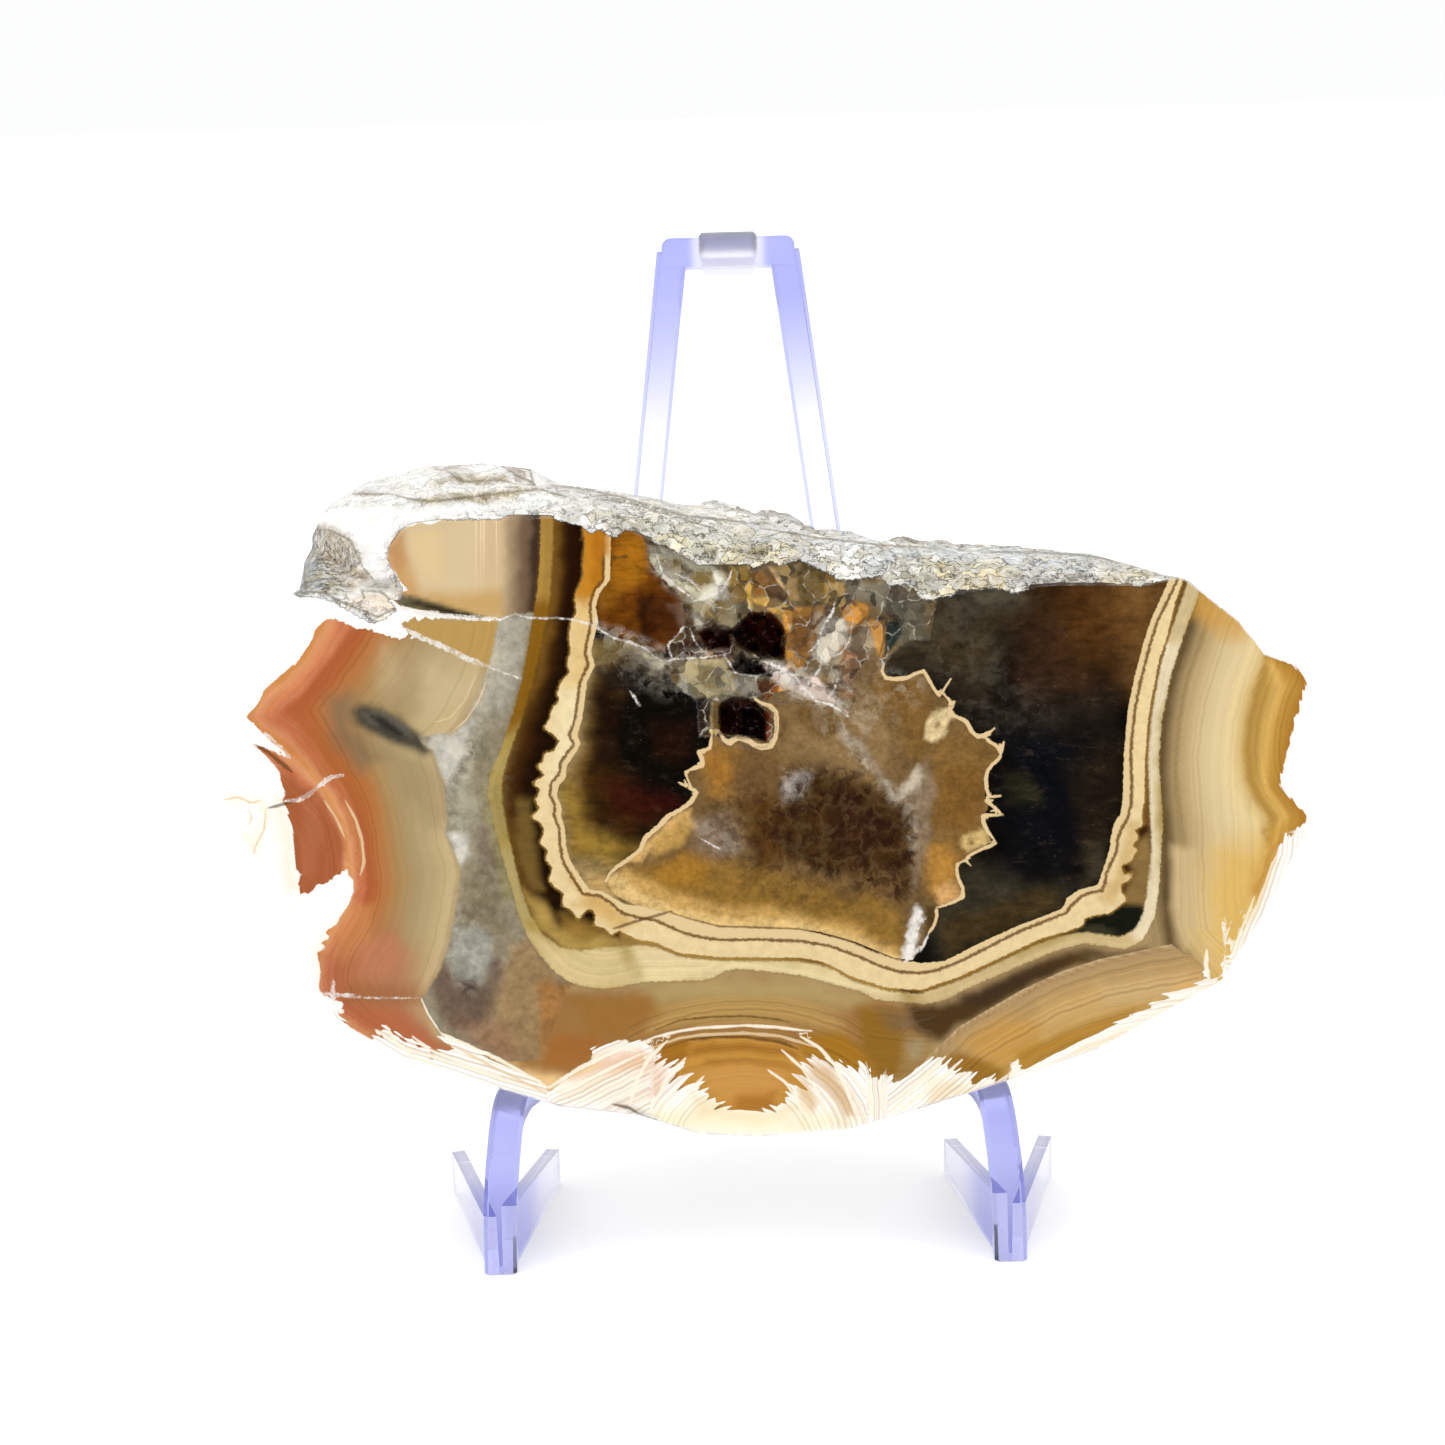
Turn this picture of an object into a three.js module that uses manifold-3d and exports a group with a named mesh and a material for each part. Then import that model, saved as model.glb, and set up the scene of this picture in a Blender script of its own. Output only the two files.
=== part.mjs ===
// Agate half nodule on a small clear easel. Millimetres, +Z up, the polished cut faces -Y.
import * as THREE from 'three';
import { ImprovedNoise } from 'three/addons/math/ImprovedNoise.js';
import { mergeVertices } from 'three/addons/utils/BufferGeometryUtils.js';
import Module from 'manifold-3d';

const wasm = await Module();
wasm.setup();

// Driving dimensions of the stone.
const STONE_DEPTH = 27;
const STONE_LEAN_DEG = 13;
const STONE_ROLL_DEG = -1.5;
const STONE_PLACE = [-0.04, -27.4, 43];
const RIM_CHAMFER = 0.7;
const RIM_DEPTH = 1.2;
const CRUST_RISE_PER_GAP = 1.25;
const AROUND = 132;
const DOME_RINGS = 20;
const LUMP_HEIGHT = 2.6;
const RIDGE_HEIGHT = 1.5;
const LEDGE_HEIGHT = 1.7;
const LEDGE_PITCH = 5;
const CALM_SPAN_DEG = 24;

// Driving dimensions of the easel.
const STRIP_WIDTH = 3;
const STRIP_THICK = 2.6;
const EASEL_HEIGHT = 91.5;
const EASEL_X = -2.2;
const FOOT_HALF_SPAN = 23.6;
const FOOT_Y = -33.5;
const SEAT_FRONT_Z = 15.7;
const SEAT_BACK = { x: 15.4, y: -3.7, z: 12.2 };
const FRAME_TOP_HALF = 6.65;
const FRAME_TOP_Y = 10;
const FRAME_BAR = 2.9;
const BAR_THICK = 2.9;
const FRAME_LEG_WIDTH = 2.4;
const REAR_LEG_WIDTH = 5.8;
const REAR_FOOT_Y = 33.2;
const TOE_THICK = 1.3;
const TOE_INSET = 0.44;
const INNER_TOE = { length: 21, spread: -3.4, front: 6, back: 3.6 };
const OUTER_TOE = { length: 20, spread: 5.2, front: 4.8, back: 4.2 };

// The stone's outline square to the cut, clockwise from the top left: right, up.
const OUTLINE = [
  [-42.1, 23.6], [-39.8, 26.4], [-36.2, 29.1], [-31.6, 30.5], [-26.2, 30.8], [-21.6, 30.2],
  [-18.9, 28.6], [-10.7, 27.7], [-2.5, 26.1], [5.6, 24.1], [21.1, 23.2], [30.2, 22.9],
  [34.7, 21.4], [38.4, 20], [42.9, 16.4], [45.6, 13.2], [48.4, 12.3], [50.3, 10.6],
  [49.1, 7.3], [47.5, 4.5], [47, 1.8], [48.4, 0], [49.9, -2.3], [48.4, -4.5], [45.7, -9.8],
  [41.5, -16.6], [38.4, -18.2], [30.2, -22.7], [21.1, -25.9], [13.8, -28.2], [7.5, -30],
  [-0.7, -30.7], [-6.2, -30.5], [-11.6, -28.8], [-18.9, -28], [-24.4, -26.4], [-33.5, -23.5],
  [-39.5, -20.1], [-41, -17.5], [-43.5, -13.6], [-44.8, -10.6], [-46.7, -5.6], [-50.3, 0.4],
  [-50.3, 3.6], [-49.7, 9.1], [-47.5, 12.7], [-45.5, 15.9], [-42.2, 18.9], [-42.4, 21.8],
];

// Where the polished cut meets the rough crust, from the top right to the left.
const CUT_TOP = [
  [37.5, 20.2], [34.7, 19.5], [26.5, 19.5], [20.2, 19.1], [14.7, 18.5], [10.2, 20.9],
  [4.3, 22], [-2.5, 20.9], [-6.2, 20.9], [-9.8, 23.2], [-15.3, 25.5], [-26.2, 25.6],
  [-32.5, 24.8], [-34.4, 22.4], [-33.5, 19.5], [-32.6, 17.9], [-42, 18.6],
];

// Open pits in the cut: rim points right and up, and how deep they go.
const PITS = [
  { depth: 3.4, rim: [[-4.5, 8.5], [-3.4, 9.4], [-1.6, 9.2], [0, 7.6], [-0.2, 5.4], [-2.2, 5.8], [-4.3, 6]] },
  { depth: 2.2, rim: [[-3.6, 11.9], [-2.4, 13], [-1, 12.5], [0.5, 11.2], [-1.5, 11.4]] },
  { depth: 3.6, rim: [[-3.5, 15.4], [-1.3, 17.1], [0.5, 16.7], [1.5, 15.4], [1.3, 12.9], [-0.5, 12.9], [-2.4, 13.8]] },
  { depth: 2.4, rim: [[-6.2, 15.2], [-4.8, 16], [-3.2, 15.6], [-3.5, 13.9], [-5.6, 13.6]] },
];

// Edges shorter than this are welded away after the joins.
const WELD = 0.03;

const noise = new ImprovedNoise();
const radians = THREE.MathUtils.degToRad;
const mix = THREE.MathUtils.lerp;

function closedMesh(points, faces) {
  const geometry = new THREE.BufferGeometry();
  geometry.setAttribute('position', new THREE.Float32BufferAttribute(points.flat(), 3));
  geometry.setIndex(faces.flat());
  return geometry;
}

function toSolid(geometry) {
  const bare = geometry.clone();
  bare.deleteAttribute('normal');
  bare.deleteAttribute('uv');
  const merged = mergeVertices(bare, 1e-4);
  const vertProperties = new Float32Array(merged.attributes.position.array);
  const triVerts = new Uint32Array(merged.index.array);
  return new wasm.Manifold(new wasm.Mesh({ numProp: 3, vertProperties, triVerts }));
}

function toGeometry(solid) {
  const mesh = solid.getMesh();
  const geometry = new THREE.BufferGeometry();
  geometry.setAttribute('position', new THREE.BufferAttribute(mesh.vertProperties, 3));
  geometry.setIndex(new THREE.BufferAttribute(mesh.triVerts, 1));
  geometry.computeVertexNormals();
  return geometry;
}

// Distance from the middle of the cut to a closed outline along one direction.
function reach(outline, angle) {
  const dx = Math.cos(angle);
  const dy = Math.sin(angle);
  let best = 0;
  outline.forEach(([ax, ay], i) => {
    const [bx, by] = outline[(i + 1) % outline.length];
    const ex = bx - ax;
    const ey = by - ay;
    const det = dx * ey - dy * ex;
    const along = (ax * ey - ay * ex) / det;
    const share = (ax * dy - ay * dx) / det;
    if (along > best && share >= 0 && share <= 1) best = along;
  });
  return best;
}

// The cut's own outline: the crust's edge along the top, and the rim elsewhere.
function cutReach(angle, rim) {
  const first = Math.atan2(CUT_TOP[0][1], CUT_TOP[0][0]);
  const last = Math.atan2(CUT_TOP.at(-1)[1], CUT_TOP.at(-1)[0]);
  const edge = angle > first && angle < last ? reach([...CUT_TOP, [0, 0]], angle) : rim;
  return Math.min(edge, rim - RIM_CHAMFER);
}

// The outline with its nicks evened out, which the back takes on.
function calmReach(angle) {
  const span = radians(CALM_SPAN_DEG);
  const offsets = [-1, -0.6, -0.2, 0.2, 0.6, 1];
  return offsets.reduce((sum, share) => sum + reach(OUTLINE, angle + share * span), 0) / offsets.length;
}

// One line of points from the cut's edge over the side to the middle of the back.
function meridian(angle) {
  const rim = reach(OUTLINE, angle);
  const calm = calmReach(angle);
  const cut = cutReach(angle, rim);
  const gap = rim - cut - RIM_CHAMFER;
  const widest = RIM_DEPTH + CRUST_RISE_PER_GAP * gap;
  const up = THREE.MathUtils.smoothstep(Math.sin(angle), 0.1, 0.75);
  const fullness = mix(1.25, 2.3, up);
  const line = [
    { radius: cut, depth: 0 },
    { radius: mix(cut, rim, 0.45), depth: widest * 0.22 },
    { radius: mix(cut, rim, 0.8), depth: widest * 0.6 },
  ];
  for (let i = 0; i < DOME_RINGS; i++) {
    const share = Math.cos((i / DOME_RINGS) * Math.PI / 2);
    const bulge = Math.pow(1 - share * share, 1 / fullness);
    const edge = mix(rim, calm, THREE.MathUtils.smoothstep(bulge, 0, 0.45));
    line.push({ radius: edge * share, depth: widest + (STONE_DEPTH - widest) * bulge });
  }
  return line.map(({ radius, depth }) => {
    const drift = depth / STONE_DEPTH;
    return [radius * Math.cos(angle) + drift, radius * Math.sin(angle) + 1.5 * drift, -depth];
  });
}

// Lumps and ridges everywhere behind the rim, and stepped ledges on the thick upper side.
function roughen([x, y, z], ring) {
  const fade = THREE.MathUtils.smoothstep(ring, 1.5, 6);
  const out = new THREE.Vector3(x, y, z + STONE_DEPTH * 0.35).normalize();
  const lump = LUMP_HEIGHT * (noise.noise(x / 12, y / 12, z / 11 + 4) - 0.1);
  const ridge = RIDGE_HEIGHT * (0.3 - Math.abs(noise.noise(x / 9 + 9, y / 9, z / 9)) * 2);
  const upper = THREE.MathUtils.smoothstep(y, 9, 17);
  const phase = z / LEDGE_PITCH + 1.5 * noise.noise(x / 14, 3, z / 9);
  const step = Math.abs((phase - Math.floor(phase)) * 2 - 1);
  const ledge = upper * LEDGE_HEIGHT * (THREE.MathUtils.smoothstep(step, 0.25, 0.75) - 0.6);
  const move = fade * (lump + ridge + ledge);
  return [x + out.x * move, y + out.y * move, z + out.z * move];
}

function stoneShell() {
  const points = [];
  const rings = DOME_RINGS + 3;
  for (let i = 0; i < AROUND; i++) {
    const line = meridian(-Math.PI + (2 * Math.PI * (i + 0.5)) / AROUND);
    line.forEach((point, ring) => points.push(roughen(point, ring)));
  }
  const pole = points.push(roughen([1, 1.5, -STONE_DEPTH], rings)) - 1;
  const faces = [];
  for (let i = 0; i < AROUND; i++) {
    const a = i * rings;
    const b = ((i + 1) % AROUND) * rings;
    for (let k = 0; k < rings - 1; k++) {
      faces.push([a + k, a + k + 1, b + k + 1], [a + k, b + k + 1, b + k]);
    }
    faces.push([a + rings - 1, pole, b + rings - 1]);
  }
  const edge = Array.from({ length: AROUND }, (_, i) => new THREE.Vector2(...points[i * rings]));
  THREE.ShapeUtils.triangulateShape(edge, []).forEach((tri) => {
    faces.push(tri.map((i) => i * rings));
  });
  return closedMesh(points, faces);
}

// A jagged bowl that opens through the cut, with a broken floor.
function pitCutter({ rim, depth }) {
  const count = rim.length;
  const middle = rim.reduce((sum, [x, y]) => [sum[0] + x / count, sum[1] + y / count], [0, 0]);
  const level = (share, z) => rim.map(([x, y], i) => [
    mix(middle[0], x, share + (i % 2 ? 0.08 : -0.08)), mix(middle[1], y, share), z - (i % 3) * 0.25,
  ]);
  const top = rim.map(([x, y]) => [x, y, 0.6]);
  const points = [...top, ...level(0.9, -0.45 * depth), ...level(0.55, -0.85 * depth)];
  const floor = points.push([middle[0] + 0.2, middle[1], -depth * 0.7]) - 1;
  const faces = [];
  for (let i = 0; i < count; i++) {
    const j = (i + 1) % count;
    for (const low of [0, count]) {
      faces.push([low + i, low + j, low + count + j], [low + i, low + count + j, low + count + i]);
    }
    faces.push([2 * count + i, 2 * count + j, floor]);
  }
  const flat = top.map(([x, y]) => new THREE.Vector2(x, y));
  THREE.ShapeUtils.triangulateShape(flat, []).forEach((tri) => faces.push(tri));
  return closedMesh(points, faces);
}

function makeStone() {
  let solid = toSolid(stoneShell());
  for (const pit of PITS) solid = solid.subtract(toSolid(pitCutter(pit)));
  const material = new THREE.MeshStandardMaterial({ color: 0x8a6a3c, roughness: 0.3 });
  const stone = new THREE.Mesh(toGeometry(solid), material);
  stone.name = 'agate_half_nodule';
  stone.rotation.z = radians(STONE_ROLL_DEG);
  const lean = new THREE.Group();
  lean.add(stone);
  lean.rotation.x = radians(90 - STONE_LEAN_DEG);
  lean.position.set(...STONE_PLACE);
  return lean;
}

// A strip of rectangular section with eased edges along a route: its width stays level.
function strip(route, width, thick) {
  const ease = 0.35;
  const section = [
    [-width / 2 + ease, -thick / 2], [width / 2 - ease, -thick / 2], [width / 2, -thick / 2 + ease],
    [width / 2, thick / 2 - ease], [width / 2 - ease, thick / 2], [-width / 2 + ease, thick / 2],
    [-width / 2, thick / 2 - ease], [-width / 2, -thick / 2 + ease],
  ];
  const points = [];
  const faces = [];
  const sides = section.length;
  route.forEach((place, i) => {
    const before = route[Math.max(i - 1, 0)];
    const after = route[Math.min(i + 1, route.length - 1)];
    const along = after.clone().sub(before).normalize();
    const across = new THREE.Vector3(1, 0, 0).addScaledVector(along, -along.x).normalize();
    const through = along.clone().cross(across);
    for (const [u, v] of section) {
      points.push(place.clone().addScaledVector(across, u).addScaledVector(through, v).toArray());
    }
    if (i === 0) return;
    for (let k = 0; k < sides; k++) {
      const a = (i - 1) * sides + k;
      const b = (i - 1) * sides + ((k + 1) % sides);
      faces.push([a, b, b + sides], [a, b + sides, a + sides]);
    }
  });
  const last = (route.length - 1) * sides;
  for (let k = 1; k < sides - 1; k++) {
    faces.push([0, k + 1, k], [last, last + k, last + k + 1]);
  }
  return closedMesh(points, faces);
}

// A route through corner points, each corner rounded by its own radius.
function roundedRoute(corners) {
  const route = [];
  corners.forEach(({ at, round }, i) => {
    if (!round) {
      route.push(at);
      return;
    }
    const start = at.clone().lerp(corners[i - 1].at, round / at.distanceTo(corners[i - 1].at));
    const end = at.clone().lerp(corners[i + 1].at, round / at.distanceTo(corners[i + 1].at));
    route.push(...new THREE.QuadraticBezierCurve3(start, at, end).getPoints(6));
  });
  return route;
}

function corner(x, y, z, round = 0) {
  return { at: new THREE.Vector3(x, y, z), round };
}

// How far the back frame's middle stands back, and how wide it is, at a height.
function frameAt(z) {
  const share = (z - SEAT_BACK.z) / (EASEL_HEIGHT - SEAT_BACK.z);
  return {
    y: mix(SEAT_BACK.y, FRAME_TOP_Y, share),
    half: mix(SEAT_BACK.x, FRAME_TOP_HALF - FRAME_LEG_WIDTH / 2, share),
  };
}

// One side: down the frame, forward along the seat, then down the front leg past the floor.
function side(sign) {
  const top = frameAt(EASEL_HEIGHT - FRAME_BAR / 2);
  const x = sign * FOOT_HALF_SPAN;
  const legTop = { x: sign * (FOOT_HALF_SPAN - 1.2), y: FOOT_Y + 3.2 };
  const frameLeg = strip(roundedRoute([
    corner(sign * top.half, top.y, EASEL_HEIGHT - FRAME_BAR / 2),
    corner(sign * SEAT_BACK.x, SEAT_BACK.y, SEAT_BACK.z, 6),
    corner(legTop.x, legTop.y, SEAT_FRONT_Z, 3.2),
    corner(sign * (FOOT_HALF_SPAN - 0.1), FOOT_Y + 1.9, 7, 4),
    corner(x, FOOT_Y + STRIP_THICK / 2, -2),
  ]), STRIP_WIDTH, STRIP_THICK);
  const toes = [INNER_TOE, OUTER_TOE].map((toe) => {
    const start = sign * (FOOT_HALF_SPAN + Math.sign(toe.spread) * TOE_INSET);
    return toePlate(toe, start, sign);
  });
  return [frameLeg, ...toes];
}

// An upright plate that stands on the floor and runs back from the foot, lower at its end.
function toePlate({ length, spread, front, back }, x, sign) {
  const shape = new THREE.Shape([
    new THREE.Vector2(0, -1), new THREE.Vector2(length, -1),
    new THREE.Vector2(length, back), new THREE.Vector2(0, front),
  ]);
  const plate = new THREE.ExtrudeGeometry(shape, { depth: TOE_THICK, bevelEnabled: false });
  plate.translate(0, 0, -TOE_THICK / 2);
  plate.rotateX(Math.PI / 2);
  plate.rotateZ(Math.PI / 2 - Math.atan2(sign * spread, length));
  plate.translate(x, FOOT_Y + 0.9, 0);
  return plate;
}

function topBar() {
  const { y } = frameAt(EASEL_HEIGHT - FRAME_BAR / 2);
  const half = FRAME_TOP_HALF;
  const low = -FRAME_BAR / 2;
  const shape = new THREE.Shape();
  shape.moveTo(-half, low);
  shape.lineTo(half, low);
  shape.lineTo(half, -low - 1);
  shape.absarc(half - 1, -low - 1, 1, 0, Math.PI / 2);
  shape.absarc(1 - half, -low - 1, 1, Math.PI / 2, Math.PI);
  const bar = new THREE.ExtrudeGeometry(shape, { depth: BAR_THICK, bevelEnabled: false, curveSegments: 4 });
  bar.translate(0, 0, -BAR_THICK / 2);
  bar.rotateX(Math.PI / 2 - Math.atan2(FRAME_TOP_Y - SEAT_BACK.y, EASEL_HEIGHT - SEAT_BACK.z));
  bar.translate(0, y, EASEL_HEIGHT - FRAME_BAR / 2);
  return bar;
}

// The tongue freed from the frame's middle, folded over the bar and down to the floor behind.
function rearLeg() {
  const low = frameAt(EASEL_HEIGHT - FRAME_BAR);
  const tip = frameAt(EASEL_HEIGHT);
  return strip(roundedRoute([
    corner(0, low.y, EASEL_HEIGHT - FRAME_BAR + 0.4),
    corner(0, tip.y, EASEL_HEIGHT, 2.4),
    corner(0, tip.y + 4.4, EASEL_HEIGHT - 2.2, 2.2),
    corner(0, REAR_FOOT_Y, -2),
  ]), REAR_LEG_WIDTH, STRIP_THICK);
}

function makeEasel() {
  const pieces = [topBar(), rearLeg(), ...side(-1), ...side(1)].map(toSolid);
  const joined = pieces.reduce((sum, piece) => sum.add(piece));
  const underFloor = new THREE.BoxGeometry(200, 200, 10).translate(0, 0, -5);
  const solid = joined.subtract(toSolid(underFloor)).simplify(WELD);
  const material = new THREE.MeshStandardMaterial({
    color: 0xd4d2f6, roughness: 0.05, transparent: true, opacity: 0.4,
  });
  const easel = new THREE.Mesh(toGeometry(solid), material);
  easel.name = 'clear_easel';
  easel.position.x = EASEL_X;
  return easel;
}

const model = new THREE.Group();
model.add(makeStone(), makeEasel());

export default model;
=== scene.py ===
"""Half of an agate nodule with its cut face polished, leaning on a clear easel."""

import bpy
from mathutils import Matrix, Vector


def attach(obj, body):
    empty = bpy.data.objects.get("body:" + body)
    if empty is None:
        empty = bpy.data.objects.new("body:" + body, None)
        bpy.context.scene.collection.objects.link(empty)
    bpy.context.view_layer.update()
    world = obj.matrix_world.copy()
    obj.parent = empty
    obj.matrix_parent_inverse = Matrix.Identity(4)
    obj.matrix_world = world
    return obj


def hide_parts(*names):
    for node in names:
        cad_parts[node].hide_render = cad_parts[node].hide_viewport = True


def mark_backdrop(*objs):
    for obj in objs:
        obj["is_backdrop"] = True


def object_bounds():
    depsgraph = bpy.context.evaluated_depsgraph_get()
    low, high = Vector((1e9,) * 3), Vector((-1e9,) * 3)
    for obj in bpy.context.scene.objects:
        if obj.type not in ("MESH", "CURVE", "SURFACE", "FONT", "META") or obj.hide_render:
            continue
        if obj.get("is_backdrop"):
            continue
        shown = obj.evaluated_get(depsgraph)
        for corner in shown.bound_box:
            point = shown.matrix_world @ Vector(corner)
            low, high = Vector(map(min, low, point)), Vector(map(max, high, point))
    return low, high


bl_info = {
    "name": "Agate half nodule",
    "version": (1, 0, 0),
    "blender": (4, 5, 0),
    "location": "View3D > Sidebar > Agate",
    "description": "Builds a polished half nodule on its easel, with a studio round it",
    "category": "Add Mesh",
}

import math

import bmesh
import bpy
import numpy as np
from mathutils import Matrix, Vector, noise
from mathutils.bvhtree import BVHTree
from mathutils.geometry import delaunay_2d_cdt

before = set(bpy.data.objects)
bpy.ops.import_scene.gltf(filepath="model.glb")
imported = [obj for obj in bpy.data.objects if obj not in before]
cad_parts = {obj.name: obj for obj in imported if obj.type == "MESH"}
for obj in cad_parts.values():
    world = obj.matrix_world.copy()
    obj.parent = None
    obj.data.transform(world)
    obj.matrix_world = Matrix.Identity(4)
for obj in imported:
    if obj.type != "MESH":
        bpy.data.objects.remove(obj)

MM = 0.001
# the stone's own frame: x right and y up in the polished face, z out of it, mm
PLACE = (
    Matrix.Translation((-0.04, -27.4, 43))
    @ Matrix.Rotation(math.radians(77), 4, "X")
    @ Matrix.Rotation(math.radians(-1.5), 4, "Z")
)
# how the edge of the cut falls back to the outline, mm
RIM_CHAMFER = 0.35
RIM_DEPTH = 0.9
CRUST_RISE = 1.25
# spacing of the face's points, with a finer stretch round the pits: left, bottom, right, top
FACE_STEP = 0.36
FINE_STEP = 0.18
FINE_AREA = (-11.8, 4.6, 14.8, 26)
FACE_LOW = (-52, -32)
FACE_HIGH = (52, 32)
# points round the outline, rows of the dome, and where its rays start behind the face
AROUND = 880
DOME_ROWS = 84
DOME_SMOOTHING = 7
RAY_START = Vector((0, 0, -9))
# rows that fade the lumps in, and the widest edge that a row of half as many points may have
LUMP_ROWS = 6
WIDEST_EDGE = 0.74
# marks are stored as distances up to this many mm
MARK_REACH = 3
# how far from a thin line its offset is still stored
STROKE_REACH = 0.43
# depth behind the outline over which the crust's colour gives way to the rind
CRUST_FADE = 9
# how far the growth lines' coordinate rises across the chevron, and how high the middle of the round growth
# at the lower rim lies, mm
CHEVRON_BANDS = 12
RINGS_BOTTOM = -31.5
# edges sharper than this show as creases
STONE_CREASE = math.radians(38)
AGATE_IOR = 1.54

# the easel: how far to the left its middle is (mm), how far its frame leans back per mm up, and how far
# forward the front of the frame would meet the floor (mm)
EASEL_OFFSET = 2.2
EASEL_LEAN = 0.1728
EASEL_FRONT = 5.8
# points of its CAD shape this close are one (metres), and faces this flat to each other are one
SAME_PLACE = 2e-6
FLAT_ANGLE = math.radians(2)
EASEL_CREASE = math.radians(30)
BEVEL_ANGLE = math.radians(40)
BEVEL_STEPS = 3
ACRYLIC_IOR = 1.49

# the studio, metres: corners as left, near, right, far, and each light's place, size and share of the power
FLOOR_CORNERS = (-30, -30, 30, 30)
FLOOR_LEVEL = -1e-4
CARD_CORNERS = (-0.17, -0.14, 0.19, 0.1)
LIGHTS = (
    ("top", (-0.1, -0.1, 0.9), 0.7, 1.0),
    ("left", (-0.75, -0.45, 0.5), 0.5, 0.3),
    ("right", (0.75, -0.45, 0.5), 0.5, 0.2),
)
SURROUND_TINT = (0.99, 0.995, 1.0, 1)
NEAR_CLIP = 0.01
FAR_CLIP = 10
# the lens and the width of its sensor, mm, and how often light may bounce
LENS = 68.5
SENSOR = 36
BOUNCES = 16
# what every colour setting has
COLOUR = {"subtype": "COLOR", "size": 3, "min": 0, "max": 1}

# the stone's outline, the line where the cut meets the crust, and the pits with their depths, all mm
OUTLINE = (
    "-43.8 25 -41.8 27.6 -37.4 30 -32.5 31.3 -26.9 31.6 -22.1 30.9 -19.2 29.2 -10.9 28.2 -2.5 26.4 "
    "5.6 24.1 21.1 23.2 30.2 22.9 34.7 21.4 38.4 20 42.9 16.4 45.6 13.2 48.4 12.3 50.3 10.6 49.1 7.3 "
    "47.5 4.5 47 1.8 48.4 0 49.9 -2.3 48.4 -4.5 45.7 -9.8 41.5 -16.6 38.4 -18.2 30.2 -22.7 21.1 -25.9 "
    "13.8 -28.2 7.5 -30 -0.7 -30.7 -6.2 -30.5 -11.6 -28.8 -18.9 -28 -24.4 -26.4 -33.5 -23.5 -39.5 -20.1 "
    "-41 -17.5 -43.5 -13.6 -44.8 -10.6 -46.7 -5.6 -50.3 0.4 -50.3 3.6 -49.7 9.1 -47.5 12.7 -45.5 15.9 "
    "-43 19.2 -44 22.4"
)
CUT_TOP = (
    "37.5 20.2 34.7 19.5 26.5 19.5 20.2 19.1 14.7 18.5 10.2 20.9 4.3 22 -2.5 20.9 -6.2 20.9 -9.8 23.2 "
    "-15.3 25.5 -26.2 25.6 -32.5 24.8 -34.4 22.4 -33.5 19.5 -32.6 17.9 -42 18.6"
)
PITS = [
    (3.4, "-4.5 8.5 -3.4 9.4 -1.6 9.2 0 7.6 -0.2 5.4 -2.2 5.8 -4.3 6"),
    (2.2, "-3.6 11.9 -2.4 13 -1 12.5 0.5 11.2 -1.5 11.4"),
    (3.6, "-3.5 15.4 -1.3 17.1 0.5 16.7 1.5 15.4 1.3 12.9 -0.5 12.9 -2.4 13.8"),
    (2.4, "-6.2 15.2 -4.8 16 -3.2 15.6 -3.5 13.9 -5.6 13.6"),
]

# the markings are drawn over the photograph, each point at its pixel across and down
PX_PER_MM = 11
PX_MIDDLE = (768, 800)
# where the photograph was taken from, in the stone's own frame, mm
EYE = (-4.13, 7.05, 250)
# the middle of the dark card behind the camera, in the same frame, mm
CARD_MIDDLE = (-4, 7, 480)


def entries(text, numbers):
    """The entries of a list: some words, then the points. An indented line belongs to the one above."""
    return [entry.split(None, numbers) for entry in text.strip().replace("\n  ", " ").splitlines()]


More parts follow.
